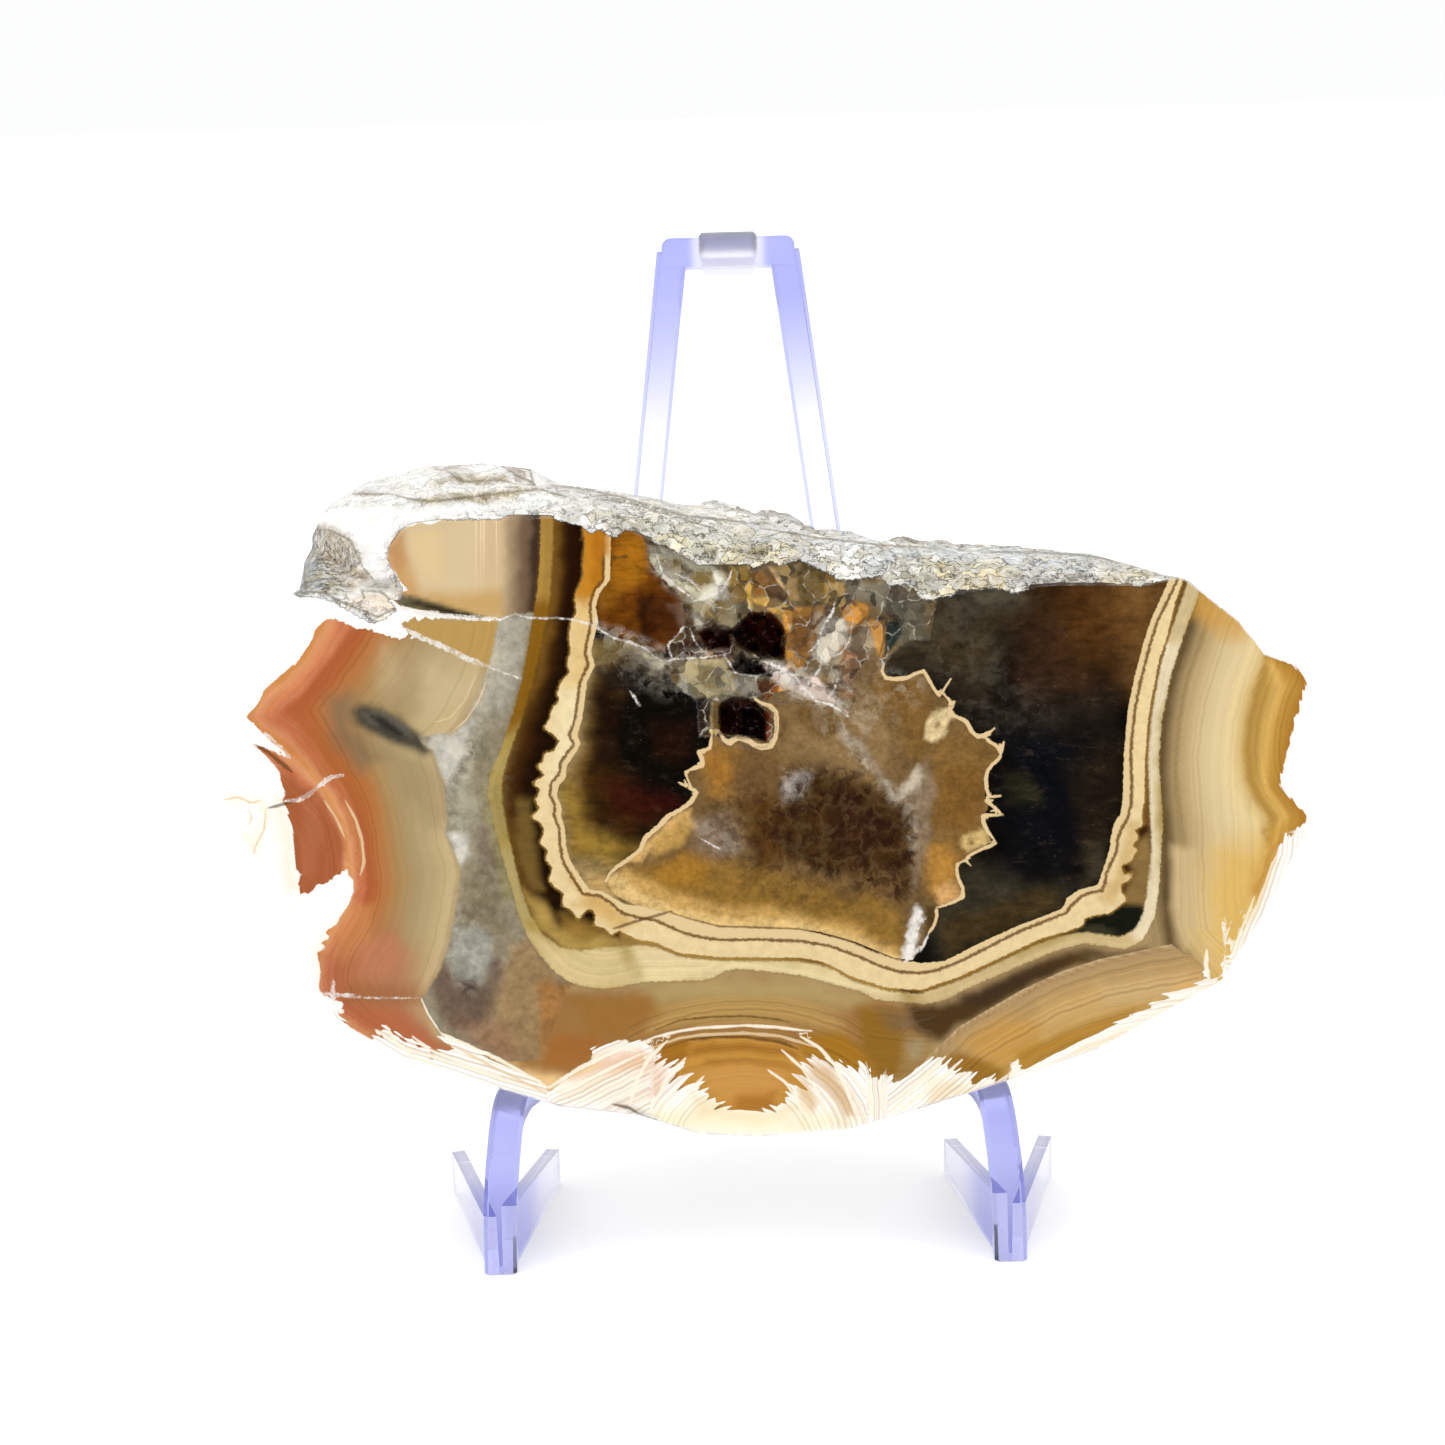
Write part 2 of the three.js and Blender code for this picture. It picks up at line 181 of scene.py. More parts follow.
# growth lines, each from the top left round the bottom to the top right, and guides for the finer ones
LINES = dict(entries("""
ochre_outer 541 495 540 560 536 600 522 680 511 720 499 755 490 775 488 795 494 825 519 915 527 935 540
  955 556 973 568 981 582 986 600 989 620 987 640 982 705 980 715 977 724 971 740 968.5 800 975 860 991
  875 999 925 1004 945 1000 960 992 1000 974 1060 949 1085 943 1125 949 1142 941 1155 917 1160 880 1163
  820 1159 760 1162 720 1170 680 1182 640 1197 600 1204 560
ochre_inner 553 490 553 540 550 600 533 680 521 720 508 757 502 780 502 800 507 830 521 890 530 915 543
  934 560 947 580 951 600 948 640 945 655 947 680 957 720 961 800 961.5 820 965 835 971 850 980 885 991
  920 994 960 980.5 1040 943 1060 936.5 1075 933 1087 932.5 1120 937 1135 930 1143 915 1147 895 1152 850
  1148 760 1151 720 1162 660 1195 560
cream_outer 583 490 583 530 585 545 583 560 583 578 577 590 575 600 577 612 571 622 569 637 571 650 567
  663 570 672 561 682 557 694 560 700 552 709 550 719 544 728 553 734 560 741 553 752 545 753 543 762 537
  766 545 775 533 783 541 790 535 800 540 809 531 817 540 822 545 831 540 843 548 850 546 860 553 868 549
  880 556 888 564 893 562 905 572 910 578 920 585 911 592 908 596 916 594 925 605 928 611 935 620 930 628
  935 640 940 655 942 680 953 720 957 800 957.5 820 961 835 967 850 976 885 987 920 990 960 976.5 1040 939
  1075 929 1083 925 1085 918 1095 915 1110 913 1127 900 1122 893 1120 885 1130 880 1133 872 1123 875 1121
  865 1131 862 1137 850 1132 845 1139 838 1135 830 1143 825 1142 812 1144.5 800 1145 760 1148 720 1153 690
  1159 660 1166 640 1176 600 1190 560
cream_inner 604 490 603 580 594 590 590 605 591 622 585 652 588 665 580 682 575 720 569 735 574 744 560
  763 560 773 551 783 550 795 555 805 554 815 559 828 560 845 563 862 577 885 583 894 600 896 611 903 622
  913 640 918 655 920 684 933 700 937 720 940 760 939.5 800 941 830 946 860 957 880 966 900 972 922 973
  938 970 960 961.5 1020 931 1066 913 1072 905 1082 896 1092 892 1102 891 1105 884 1107 872 1117 851 1118
  838 1123 826 1128 818 1131 805 1132 790 1131 750 1135 710 1141 680 1150 645 1158 620 1172 592 1186 560
chamber_edge 612 490 610 580 600 592 596 605 598 622 591 652 595 665 587 682 582 720 577 735 581 744 567
  766 566 777 558 787 557 797 562 807 561 817 565 828 566 845 570 860 584 882 590 890 602 891 626 905 640
  905.5 720 926.5 800 929 850 941 870 950 890 957 905 961 920 963 945 961 980 943 1020 925 1060 910 1064
  906 1067 898 1079 890 1098 885 1110 849 1111 837 1114 824 1121 813 1123 800 1124 755 1128 710 1134 680
  1143 645 1151 620 1178 560
chevron_edge 338 600 322 622 311 643 300 660 282 678 265 692 247 717 262 731 285 745 303 762 318 781 331
  800 341 820 346 840 349 865 350 888 342 912 328 932 318 955 316 993 340 1020 400 1052 440 1066
quartz_edge 512 560 498 622 493 650 487 672 475 700 462 725 448 738 433 748 443 780 451 840 458 858 461
  871 455 915 449 945 440 970 428 990 421 998 428 1015 440 1032
fan_top 905 1085 930 1055 960 1026 1020 991 1040 981 1060 972 1100 959 1150 948 1200 940
right_band 1262 600 1268 640 1262 665 1251 690 1244 720 1241 750 1244 780 1253 800 1268 820 1264 850 1255
  880 1240 915 1228 950
tan_start 1215 560 1202 590 1172 680 1164 720 1160 760 1161 790 1164 820 1167 920 1171 945 1185 962 1203
  980
rim_right 1240 600 1265 653 1291 663 1303 675 1307 688 1292 730 1282 785 1305 818 1285 840 1270 868 1258
  895 1225 950
""", 1))

# closed outlines of the other parts of the face
AREAS = dict(entries("""
stone_colour 247 717 257 706 262 698 265 690 300 660 313 640 316 630 326 620 332 619 345 622 352 627 370
  630 395 638 412 637 403 628 402 622 410 619 440 618 500 620 541 615 541 500 560 480 1170 520 1172 575
  1190 583 1210 598 1240 618 1245 628 1255 637 1258 646 1265 653 1291 663 1303 677 1306 686 1292 730 1289
  755 1284 765 1287 773 1281 774 1280 785 1284 792 1290 797 1306 815 1305 823 1285 838 1279 850 1276 862
  1272 858 1264 885 1258 893 1256 906 1252 889 1250 904 1245 893 1246 911 1240 899 1241 926 1237 914 1235
  938 1232 922 1229 936 1226 920 1222 925 1225 945 1229 952 1224 958 1221 978 1210 979 1206 966 1203 980
  1180 990 1163 994 1172 999 1147 1003 1152 1008 1130 1015 1090 1038 1030 1068 1022 1070 1018 1060 1010
  1064 1012 1073 990 1080 983 1084 985 1076 978 1083 970 1081 974 1072 963 1075 966 1067 956 1070 960 1062
  950 1066 955 1056 945 1062 940 1058 925 1063 915 1069 908 1078 896 1082 884 1074 876 1078 870 1076 868
  1068 862 1064 856 1070 850 1064 846 1068 840 1060 834 1064 826 1057 820 1061 812 1054 808 1062 812 1068
  804 1066 806 1078 799 1074 800 1088 794 1084 794 1096 788 1092 786 1101 776 1107 760 1110 744 1110 730
  1108 722 1103 718 1106 714 1096 708 1098 706 1088 700 1090 698 1082 690 1084 683 1080 676 1083 686 1072
  678 1074 682 1066 672 1069 676 1060 664 1066 668 1057 656 1062 662 1054 652 1057 656 1050 645 1040 618
  1041 592 1050 594 1055 588 1063 549 1090 500 1062 440 1033 452 1050 440 1052 432 1056 425 1046 418 1049
  412 1038 404 1044 396 1034 390 1038 385 1025 383 1035 376 1030 372 1038 357 1030 342 1018 343 1003 319
  993 321 970 318 953 328 948 322 943 332 938 326 932 336 926 350 903 354 892 354 880 349 874 347 865 342
  872 335 876 330 882 318 885 310 893 300 893 298 885 301 873 296 870 292 825 287 808 283 800 285 795 281
  785 281 775 277 768 268 760 262 752 250 743 262 746 275 752 290 762 284 752 272 742 254 723
oval 400 531 405 527 412 526 420 522 430 525 446 518 455 521 465 519 480 520 490 518 500 519 506 514 541
  507 545 620 470 618 440 614 400 606 391 598 400 592 409 590 400 582 396 573 390 566 387 558 388 550 394
  537
quartz 497 618 498 622 493 650 487 672 478 695 462 725 452 735 442 733 430 736 418 737 424 745 432 750 443
  780 448 820 445 835 451 845 460 866 461 873 455 915 449 945 440 970 428 990 421 998 428 1015 440 1034
  500 1060 520 1061 545 1060 552 1040 565 990 575 985 575 900 520 780 545 700 560 615 530 612
fan 905 1085 930 1055 960 1026 1020 991 1060 972 1100 959 1172 944 1184 954 1198 960 1206 970 1212 1000
  1100 1060 1000 1100 900 1120
island 606 880 610 873 640 850 645 838 660 825 668 816 680 810 690 803 697 793 690 785 685 772 703 765 699
  752 710 748 712 733 728 742 738 736 760 746 772 746 776 730 775 710 764 704 775 692 790 690 805 697 835
  702 848 715 856 700 850 685 862 665 875 650 886 678 906 678 924 671 938 695 946 698 953 716 966 720 972
  734 984 736 1000 751 1000 757 992 765 986 777 985 798 989 808 983 815 985 828 992 841 984 847 968 855
  962 862 957 870 959 885 963 897 936 908 938 924 928 933 913 960 894 958 856 942 817 931 720 926.5 630
  903 612 893
polished 1240 560 1172 575 1158 574 1150 578 1144 586 1138 588 1130 582 1118 584 1105 580 1090 582 1070
  579 1050 583 1035 582 1028 588 1015 594 1005 590 990 588 975 590 960 590 950 597 945 596 930 600 920 598
  914 588 905 584 890 586 880 576 860 579 840 580 830 574 800 560 780 565 770 561 755 567 740 561 680 554
  668 546 655 543 648 536 636 531 625 530 615 538 606 534 600 529 590 534 583 526 560 521 541 508 530 509
  506 515 500 519 455 520 440 519 420 521 405 526 396 533 389 545 386 558 403 590 395 594 388 600 397 609
  388 617 372 624 335 603 318 597 300 597 280 590 260 596 235 588 205 600 150 590 150 1200 800 1250 1400
  1100 1400 560
broken 636 515 640 532 648 548 650 562 660 576 680 596 684 612 684 630 676 636 668 645 670 656 664 666 672
  680 684 692 697 699 700 737 712 736 722 743 740 748 766 747 774 738 777 728 775 712 764 703 792 702 806
  706 822 706 836 712 850 720 862 690 872 674 884 664 894 652 908 640 930 640 936 600 900 560 700 500
""", 1))

# thin lines of each kind: half width at the widest, then the points, in pixels
STROKES = {
    "island_lines": """
2.2 606 881 610 873 618 866 625 862 634 855 640 850 645 838 652 832 660 825 668 816 680 810 690 803 697
  793 690 785 685 772
1.2 697 793 688 787 678 782
2 685 772 694 768 703 765 702 758 699 752 705 750 710 748 711 740 712 733
2.6 719 731 724 740 730 743 738 737 748 740 755 745 762 747 771 746 775 738 777 728 776 712 770 706 762
  703 755 699
1.8 884 664 882 671 886 678 896 679 906 678 915 674 924 671 931 683 935 690 940 696 946 686 951 679
2 943 694 950 700 950 712 955 716 962 719 967 722 972 732 978 737 984 735 990 732 995 728
1 955 700 952 710
1.8 984 736 990 742 997 746 1001 752 1004 742
2 1001 752 1000 758 992 765 988 770 986 779 987 790 989 797 1001 796
1.7 989 797 986 801 993 806 1003 815
1.8 1003 815 990 815 983 816 984 824 988 832 997 843
1.6 997 843 990 846 982 849 970 855 966 860 971 866
1.8 966 860 957 864 957 872 959 880 963 888 963 897 955 901 946 905 936 908
1.5 936 908 937 916 934 926 928 934
""",
    "white_lines": """
3.2 395 606 412 611 440 615 470 618 500 619
1.2 498 620 515 614 530 618 545 618 560 618 575 620 590 624 600 628
3 400 626 420 637 438 644 450 650 470 660 490 667
0.7 488 667 505 673 522 679
2.2 285 801 298 800 308 795 318 787
2.6 318 787 325 781 332 777 343 775
1.8 333 979 333 990 334 1004
1.4 318 993 335 995 356 995
0.6 345 997 380 998 420 998
2.4 264 733 276 744 290 758
1.7 596 616 597 624 598 631
1.1 600 630 612 637 622 640 630 642 645 648
0.7 645 648 655 657 664 662 676 659 700 658 722 655
0.77 672 658 668 645 680 632 684 626
1.8 765 662 780 668 795 676
1.1 795 676 806 690 815 700 830 704 848 716
1.3 800 690 812 680 820 668 822 655
0.84 826 700 834 690 838 680
1.1 835 600 833 612 822 628 818 645 808 652
0.84 853 620 850 640 842 652 828 660
1.1 732 570 728 582 722 590 705 598 694 601
1.1 657 556 664 575 676 586 690 596
0.7 676 574 690 580 700 590
0.84 724 655 730 664 735 672 745 675 757 676 771 672
0.98 630 691 636 700 640 706
0.63 690 628 694 640 702 650
3 905 962 912 955 913 940 918 925 926 918
1.8 912 955 922 948 928 936
0.8 700 838 712 845 722 850
""",
    "fringe_lines": """
1.7 440 1033 458 1041 500 1060 548 1087
1.4 412 1036 430 1050 470 1066 500 1076
1.8 386 1026 396 1042 412 1056 440 1067
0.8 421 998 428 1014 440 1032
2.2 549 1088 580 1068 618 1050 655 1040
1.8 556 1094 595 1076 640 1054
1.4 632 1046 655 1037 680 1031 700 1028 745 1025.5 775 1027 800 1030 812 1031
1.8 800 1036 820 1048 836 1066 848 1092 857 1118
1.5 782 1050 802 1068 818 1092 828 1116
1.6 768 1070 785 1082 797 1098 802 1115
1.8 668 1040 648 1060 636 1082 630 1106
1.8 686 1058 668 1076 656 1102
1.6 704 1076 690 1092 682 1112
1.8 962 1060 940 1080 915 1100 893 1116
1.5 946 1056 926 1076 904 1098 888 1112
2 1018 1060 1015 1068 1010 1078
2 1207 950 1206 965 1210 980
2.2 868 1078 870 1095 872 1116
2 880 1080 882 1096 882 1112
""",
    "tan_lines": """
0.9 222 800 238 797 252 803 262 800
0.9 266 808 264 830 256 845 250 865
0.7 248 808 252 818 248 826
1.2 447 1043 480 1060 520 1080 548 1094
1.4 648 1049 680 1038 700 1035 745 1033 780 1036 800 1042 815 1047
0.8 487 680 478 702 466 720 452 732
0.6 476 675 465 700 450 718 435 722
1.5 345 800 356 820 362 840 364 862 360 876
1 324 800 336 818 345 838
""",
    "crust_lines": """
1.2 303 551 305 570 305 589 312 585
1.4 305 592 324 592 336 599 353 607
1.2 353 607 365 599 361 590 382 592 398 607 378 617 353 607
0.9 314 530 331 530 351 541 362 566 376 583
1.2 353 494 392 494 409 499 432 501 470 497 517 491 545 489
1 429 465 470 463 514 463 530 470 534 484 517 475 500 465
1 446 470 463 482 500 480 517 484
1.2 534 487 550 492 568 497
1.2 551 485 585 489 618 496 652 506 686 516 716 519 760 524
0.9 585 497 635 504 679 518 720 530
1 760 528 820 538 880 545 940 548
1 980 552 1040 552 1090 556 1150 566
0.6 593 500 599 500 600 506 594 507 593 501
""",
    "dark_lines": """
2.2 256 745 268 752 280 762 292 772
1.4 268 808 280 805 295 801
1.6 612 929 628 924 640 920 655 916 672 911
1.1 655 1030 680 1020 710 1017 745 1016 775 1019 790 1022
1.5 690 1040 715 1037 745 1037 780 1042 800 1050
0.9 672 913 690 919 720 926.5 760 927.5 800 929 830 935.5 850 941 870 950 890 957 905 962
1 884 625 884 640 880 655
1.6 768 570 776 582 786 596
2.4 612 557 616 558
2.4 622 557 627 556
1.6 846 604 852 601 856 606
1.8 852 634 858 625 866 617
2 580 540 584 538
1.4 612 1104 630 1108 645 1118 662 1125
""",
}

# base colour of each layer
BASES = {
    "rim": "fefbf4",
    "outer": "a88e62",
    "fan": "ac8c58",
    "chamber": "0d0a06",
    "island": "705632",
    "broken": "68522e",
    "quartz": "90866e",
    "crust": "eceae2",
    "ochre": "a28948",
    "dark": "3a2006",
    "cream": "e0c896",
}

# colours that follow each other across a layer, with the share of the way at which each is reached
STOPS = {
    "chevron": (
        "0 c48242 0.035 d69668 0.06 ce8a60 0.085 b8643e 0.12 c77a54 0.155 b05c36 0.23 a85e32 0.3 b2703e "
        "0.38 aa7846 0.47 a68454 0.6 a58e64 0.76 b09b70 0.88 baa578 0.93 c4ac80 1 a8926a"
    ),
    "tan": (
        "0 544226 0.05 6c5838 0.1 8c7650 0.16 a0885c 0.2 967e54 0.24 b0986a 0.34 bea676 0.42 c8b080 0.52 "
        "d0ba8a 0.68 d8c292 0.85 e0c892 1 ceae70"
    ),
    "cusp": "0 c4a462 0.1 aa8440 0.3 b28a42 0.42 c69e52 0.52 d8ac5c 0.66 ba8c3e 0.84 b08234 1 a87024",
    "fan": (
        "0 c4aa80 0.04 96764c 0.08 b09266 0.14 a6885a 0.25 b2905c 0.45 b89258 0.62 b48e4c 0.8 ac843e 1 "
        "a87c30"
    ),
    "chamber": "0 927a50 0.18 745a2c 0.45 4c340e 1 160d05",
    "dark": "0 684816 0.12 54380e 0.35 3e2406 0.7 221003 1 120802",
}

# tints laid over each layer in turn: colour or name of its stops, softness in pixels, strength, raggedness in
# pixels, then the outline
TINTS = {
    "rim": """
f7ecc4 14 0.8 2 640 1112 700 1105 760 1112 830 1112 860 1122 800 1136 700 1136 650 1128
f7ecd4 5 0.6 3 228 792 262 797 270 815 262 845 250 870 232 860 245 830 240 808
fffdf6 4 0.9 1 240 800 256 804 262 818 252 838 243 822
e2b48c 8 0.8 2 560 1062 600 1058 640 1046 655 1062 640 1090 610 1098 575 1090 555 1078
faf3e4 6 0.9 2 560 1082 640 1066 650 1100 600 1104 560 1098
e8bea0 5 0.7 2 655 1070 668 1066 662 1095 650 1098
ecd6a0 8 0.6 2 690 1090 730 1108 770 1112 800 1098 812 1110 760 1122 700 1116
cda569 5 0.8 1 805 1060 830 1068 850 1095 858 1115 846 1116 830 1092 812 1076
d6b076 5 0.8 1 792 1075 808 1084 818 1104 812 1112 800 1098
f0e1be 10 0.8 3 925 1075 975 1085 1000 1085 1080 1050 1150 1012 1220 985 1225 992 1100 1060 1000 1095 930
  1105
ecce96 5 0.9 2 560 1066 590 1066 600 1060 600 1068 570 1076
eed6a4 7 0.9 3 1262 865 1275 862 1262 900 1226 960 1228 930 1245 905
bebeba 3 0.7 1 612 1102 640 1108 662 1122 652 1124 630 1114
f2e4cc 8 0.7 3 283 795 290 830 294 870 300 893 285 890 276 800
f4e8d2 8 0.8 3 316 955 326 930 350 905 345 925 330 945 316 985
""",
    "outer": """
chevron 2 1 0 230 560 520 560 520 1080 230 1080
c6b186 20 0.75 4 385 650 430 655 480 682 470 705 440 722 405 705 378 680
b69252 3 1 1 400 619 500 619 492 664 486 667 420 637
d68c5c 7 0.55 2 330 622 352 628 300 690 268 718 256 716 290 680 315 650
ac5c32 7 0.6 2 345 630 366 632 345 665 320 695 305 720 288 718 335 650
b86844 14 0.6 4 255 718 300 720 320 745 310 760 285 742
aa642e 14 0.6 4 300 722 345 735 375 790 372 830 350 800 322 775
967a52 14 0.5 4 395 655 415 650 425 690 400 735 380 715
a45c36 5 1 2 281 770 300 788 316 790 330 810 342 835 346 852 342 874 330 884 310 895 296 890 290 850 290
  825 284 800
b06846 5 0.7 2 300 800 318 800 322 840 312 880 303 870 302 830
be7c46 4 0.7 1 343 800 352 810 364 845 364 870 356 868 356 845 346 822
ce8e54 8 0.6 2 345 905 372 905 372 940 345 965 330 960 335 930
ac6848 24 0.7 4 318 950 345 955 390 925 422 960 418 1000 440 1045 440 1065 400 1050 345 1020 318 1000
be7858 10 0.6 3 360 945 395 935 405 960 385 980 360 975
96603a 8 0.6 3 345 985 420 985 425 1005 345 1005
b0623e 8 0.7 3 345 1008 400 1008 440 1040 470 1058 430 1054 372 1036
b2824a 6 0.7 2 372 1030 392 1034 412 1050 440 1056 430 1062 395 1050
d3bb92 2.5 1 1 380 500 545 495 545 622 400 612 380 570
f0c88c 9 0.9 2 515 1062 560 1070 585 1066 566 1082 549 1092 530 1082
c49254 10 0.8 3 385 535 398 535 420 590 450 608 440 616 400 606 385 575
ba8856 6 0.6 2 388 540 405 532 406 565 396 575 388 562
e2c48a 8 0.5 2 410 535 440 530 440 580 418 572
be9248 10 0.7 3 430 592 500 590 510 618 470 618 440 612
ceac84 6 0.6 2 480 520 505 520 505 580 480 580
967e60 7 0.9 2 505 505 545 500 545 622 505 622
68523e 7 0.9 2 518 505 545 500 545 622 516 622
342218 5 0.9 2 532 505 548 500 546 622 528 622
60563c 2.5 1 1 388 593 410 595 486 618 470 620 400 608
282012 1.5 0.9 0.5 405 601 430 604 482 617 470 619 440 612
3c3932 6 0.95 2 350 712 360 706 380 708 400 718 420 736 432 752 424 756 375 735 356 724
625c52 3 0.7 1.5 362 713 385 712 405 725 416 738 405 738 385 728 368 722
24211c 2.5 0.9 1 368 714 384 718 408 738 396 736 380 726
7a664c 16 0.85 3 330 700 350 695 352 730 380 755 360 770 335 740
96805a 12 0.6 3 385 750 430 758 444 800 446 830 430 830 405 790
986e3c 10 1 3 520 960 560 985 600 992 700 985 760 975 930 1008 930 1070 860 1090 700 1120 560 1075 520
  1070
ae9662 12 0.9 3 640 985 720 975 820 982 870 1000 850 1010 745 1000 660 1005
b08e52 8 0.8 3 655 1010 700 998 745 995 800 998 835 1012 845 1028 745 1024 650 1030
9e6028 9 0.7 3 545 1040 575 1030 605 1040 600 1060 570 1068 545 1066
96682c 8 0.7 3 575 1000 650 995 660 1015 620 1036 590 1035
8a621c 10 0.9 3 860 1005 905 1008 910 1040 905 1075 880 1080 860 1050
987c48 8 0.8 3 905 1035 935 1030 930 1055 915 1070 900 1075
a08c68 5 0.7 3 905 1045 925 1040 922 1058 908 1062
705c46 10 0.6 3 880 1010 925 1012 925 1030 890 1032
4a3418 7 1 2 905 1006 940 1004 960 997 1040 960 1085 947 1120 953 1150 948 1168 938 1175 944 1080 966 1040
  982 960 1026 940 1040 915 1030
3a2c1e 8 0.8 2 960 1000 1020 975 1060 962 1040 978 980 1008
6e5c3e 6 0.7 2 1070 953 1120 954 1150 950 1100 961
bc883a 3 1 1 690 1040 745 1036 800 1048 812 1065 806 1090 786 1105 745 1114 716 1104 700 1092 680 1086 676
  1062
9e6822 5 0.8 2 690 1045 745 1041 795 1050 800 1060 745 1052 695 1056
c8924c 8 0.8 2 700 1070 745 1062 785 1074 780 1096 745 1104 710 1092
a66e2c 4 0.7 1 705 1060 745 1057 790 1066 790 1070 745 1063 706 1066
a0641e 6 0.7 2 735 1096 775 1092 775 1110 735 1112
9c681a 5 0.9 2 640 1044 690 1040 690 1056 672 1072 650 1064 636 1052
a0701e 5 0.95 2 800 1034 842 1034 862 1048 876 1072 868 1082 850 1074 820 1066 800 1052
tan 2 1 0 1150 500 1400 500 1400 1020 1150 1020
cab282 6 0.85 2 1172 846 1196 850 1204 940 1184 950 1172 905
c89644 14 0.8 3 1190 570 1262 630 1240 640 1216 632 1196 618 1180 600
d6ac58 24 0.85 6 1212 850 1270 840 1262 920 1234 985 1208 985 1204 930
cusp 2 1 0 1268 640 1340 640 1340 850 1268 850 1262 830 1268 820 1253 800 1244 780 1241 750 1244 720 1251
  690 1262 665
c49642 8 0.7 3 1268 825 1300 822 1285 842 1258 900 1250 895 1262 860
b47e30 4 0.6 2 1270 850 1282 842 1256 900 1254 890
""",
    "fan": """
fan 2 1 0 900 900 1260 900 1260 1150 900 1150
c8a874 14 0.8 3 1100 985 1190 968 1200 985 1140 1008 1100 1010
c8a468 14 0.7 3 1040 1000 1100 985 1100 1015 1040 1040
c29248 12 0.8 3 960 1040 1010 1015 1040 1030 1010 1065 975 1060
ac7c2c 8 0.9 3 1020 1070 1150 1004 1120 1012 1015 1052
8e641e 6 0.9 3 935 1060 960 1052 1000 1068 1000 1085 970 1086 950 1072
d6aa68 6 0.8 2 1168 990 1200 975 1208 985 1180 998
""",
    "chamber": """
chamber 2 1 0 540 640 640 640 640 700 625 760 640 860 660 920 560 920
a08858 8 0.9 3 575 862 596 850 622 862 606 880 612 895 592 892
c8a062 6 0.7 3 586 878 604 874 606 886 614 896 592 892
96762e 14 0.9 4 560 770 578 790 590 830 640 845 605 870 570 850
3e2206 18 0.8 4 590 760 640 770 660 815 625 845 596 815
360c06 10 0.75 4 600 778 640 782 680 795 690 806 650 820 615 815
0c0804 18 0.95 6 600 690 690 690 696 740 690 790 640 790 606 760
220e05 10 0.8 6 650 725 690 722 690 760 655 760
1e0e05 12 0.85 5 594 664 618 672 614 760 590 765
683804 8 1 3 600 528 650 528 654 560 668 590 700 612 705 640 660 650 620 640 596 624 600 592 612 572
a46810 9 0.9 4 622 535 645 532 650 560 640 580 606 600 606 570
764a08 8 0.9 3 600 575 620 580 616 608 598 610
3c1a06 9 0.8 4 640 590 672 596 690 620 672 640 646 640
240e04 6 0.8 3 638 600 652 596 650 640 640 640
705848 6 0.7 3 668 606 690 604 700 630 684 632
6e5c32 6 0.9 3 598 640 640 640 640 650 612 662 596 664
685e4a 7 0.7 4 625 655 645 650 668 664 660 680 645 678 640 668
1a1814 6 0.7 3 600 665 640 668 650 690 610 690
aa9e82 3 0.9 2 640 652 668 660 672 668 652 668
3e3422 24 0.85 10 880 600 1010 600 1000 680 960 700 930 670 885 660
4e4836 8 0.8 5 880 590 940 592 930 625 905 645 884 650
382c1a 20 0.7 10 920 610 1000 615 985 665 930 665
565040 14 0.7 6 965 592 1035 590 1030 608 975 614
462c10 40 0.85 14 1040 585 1165 575 1150 660 1100 690 1050 640
54320e 30 0.6 12 1060 590 1115 588 1130 640 1090 665 1055 640
785226 34 0.75 12 1112 575 1175 570 1160 700 1142 680 1128 640
3c2616 24 0.7 10 1005 615 1060 610 1080 690 1030 700
2c231a 26 0.6 12 950 690 1110 690 1115 740 1010 735
090b10 18 0.9 6 1005 730 1080 735 1100 790 1080 850 1020 860 1005 800
2c2a14 8 0.6 6 1004 775 1030 780 1040 800 1008 805
261c10 14 0.7 6 1070 760 1120 740 1122 800 1100 850 1075 860
383224 18 0.85 8 950 860 1010 862 1070 885 1060 905 945 955 935 920
423216 9 0.8 4 938 925 960 915 1050 890 1062 905 945 958
463e2c 8 0.5 4 1085 840 1110 840 1100 885 1080 890
0c0c0e 14 0.8 5 1000 800 1080 820 1070 880 1000 880
""",
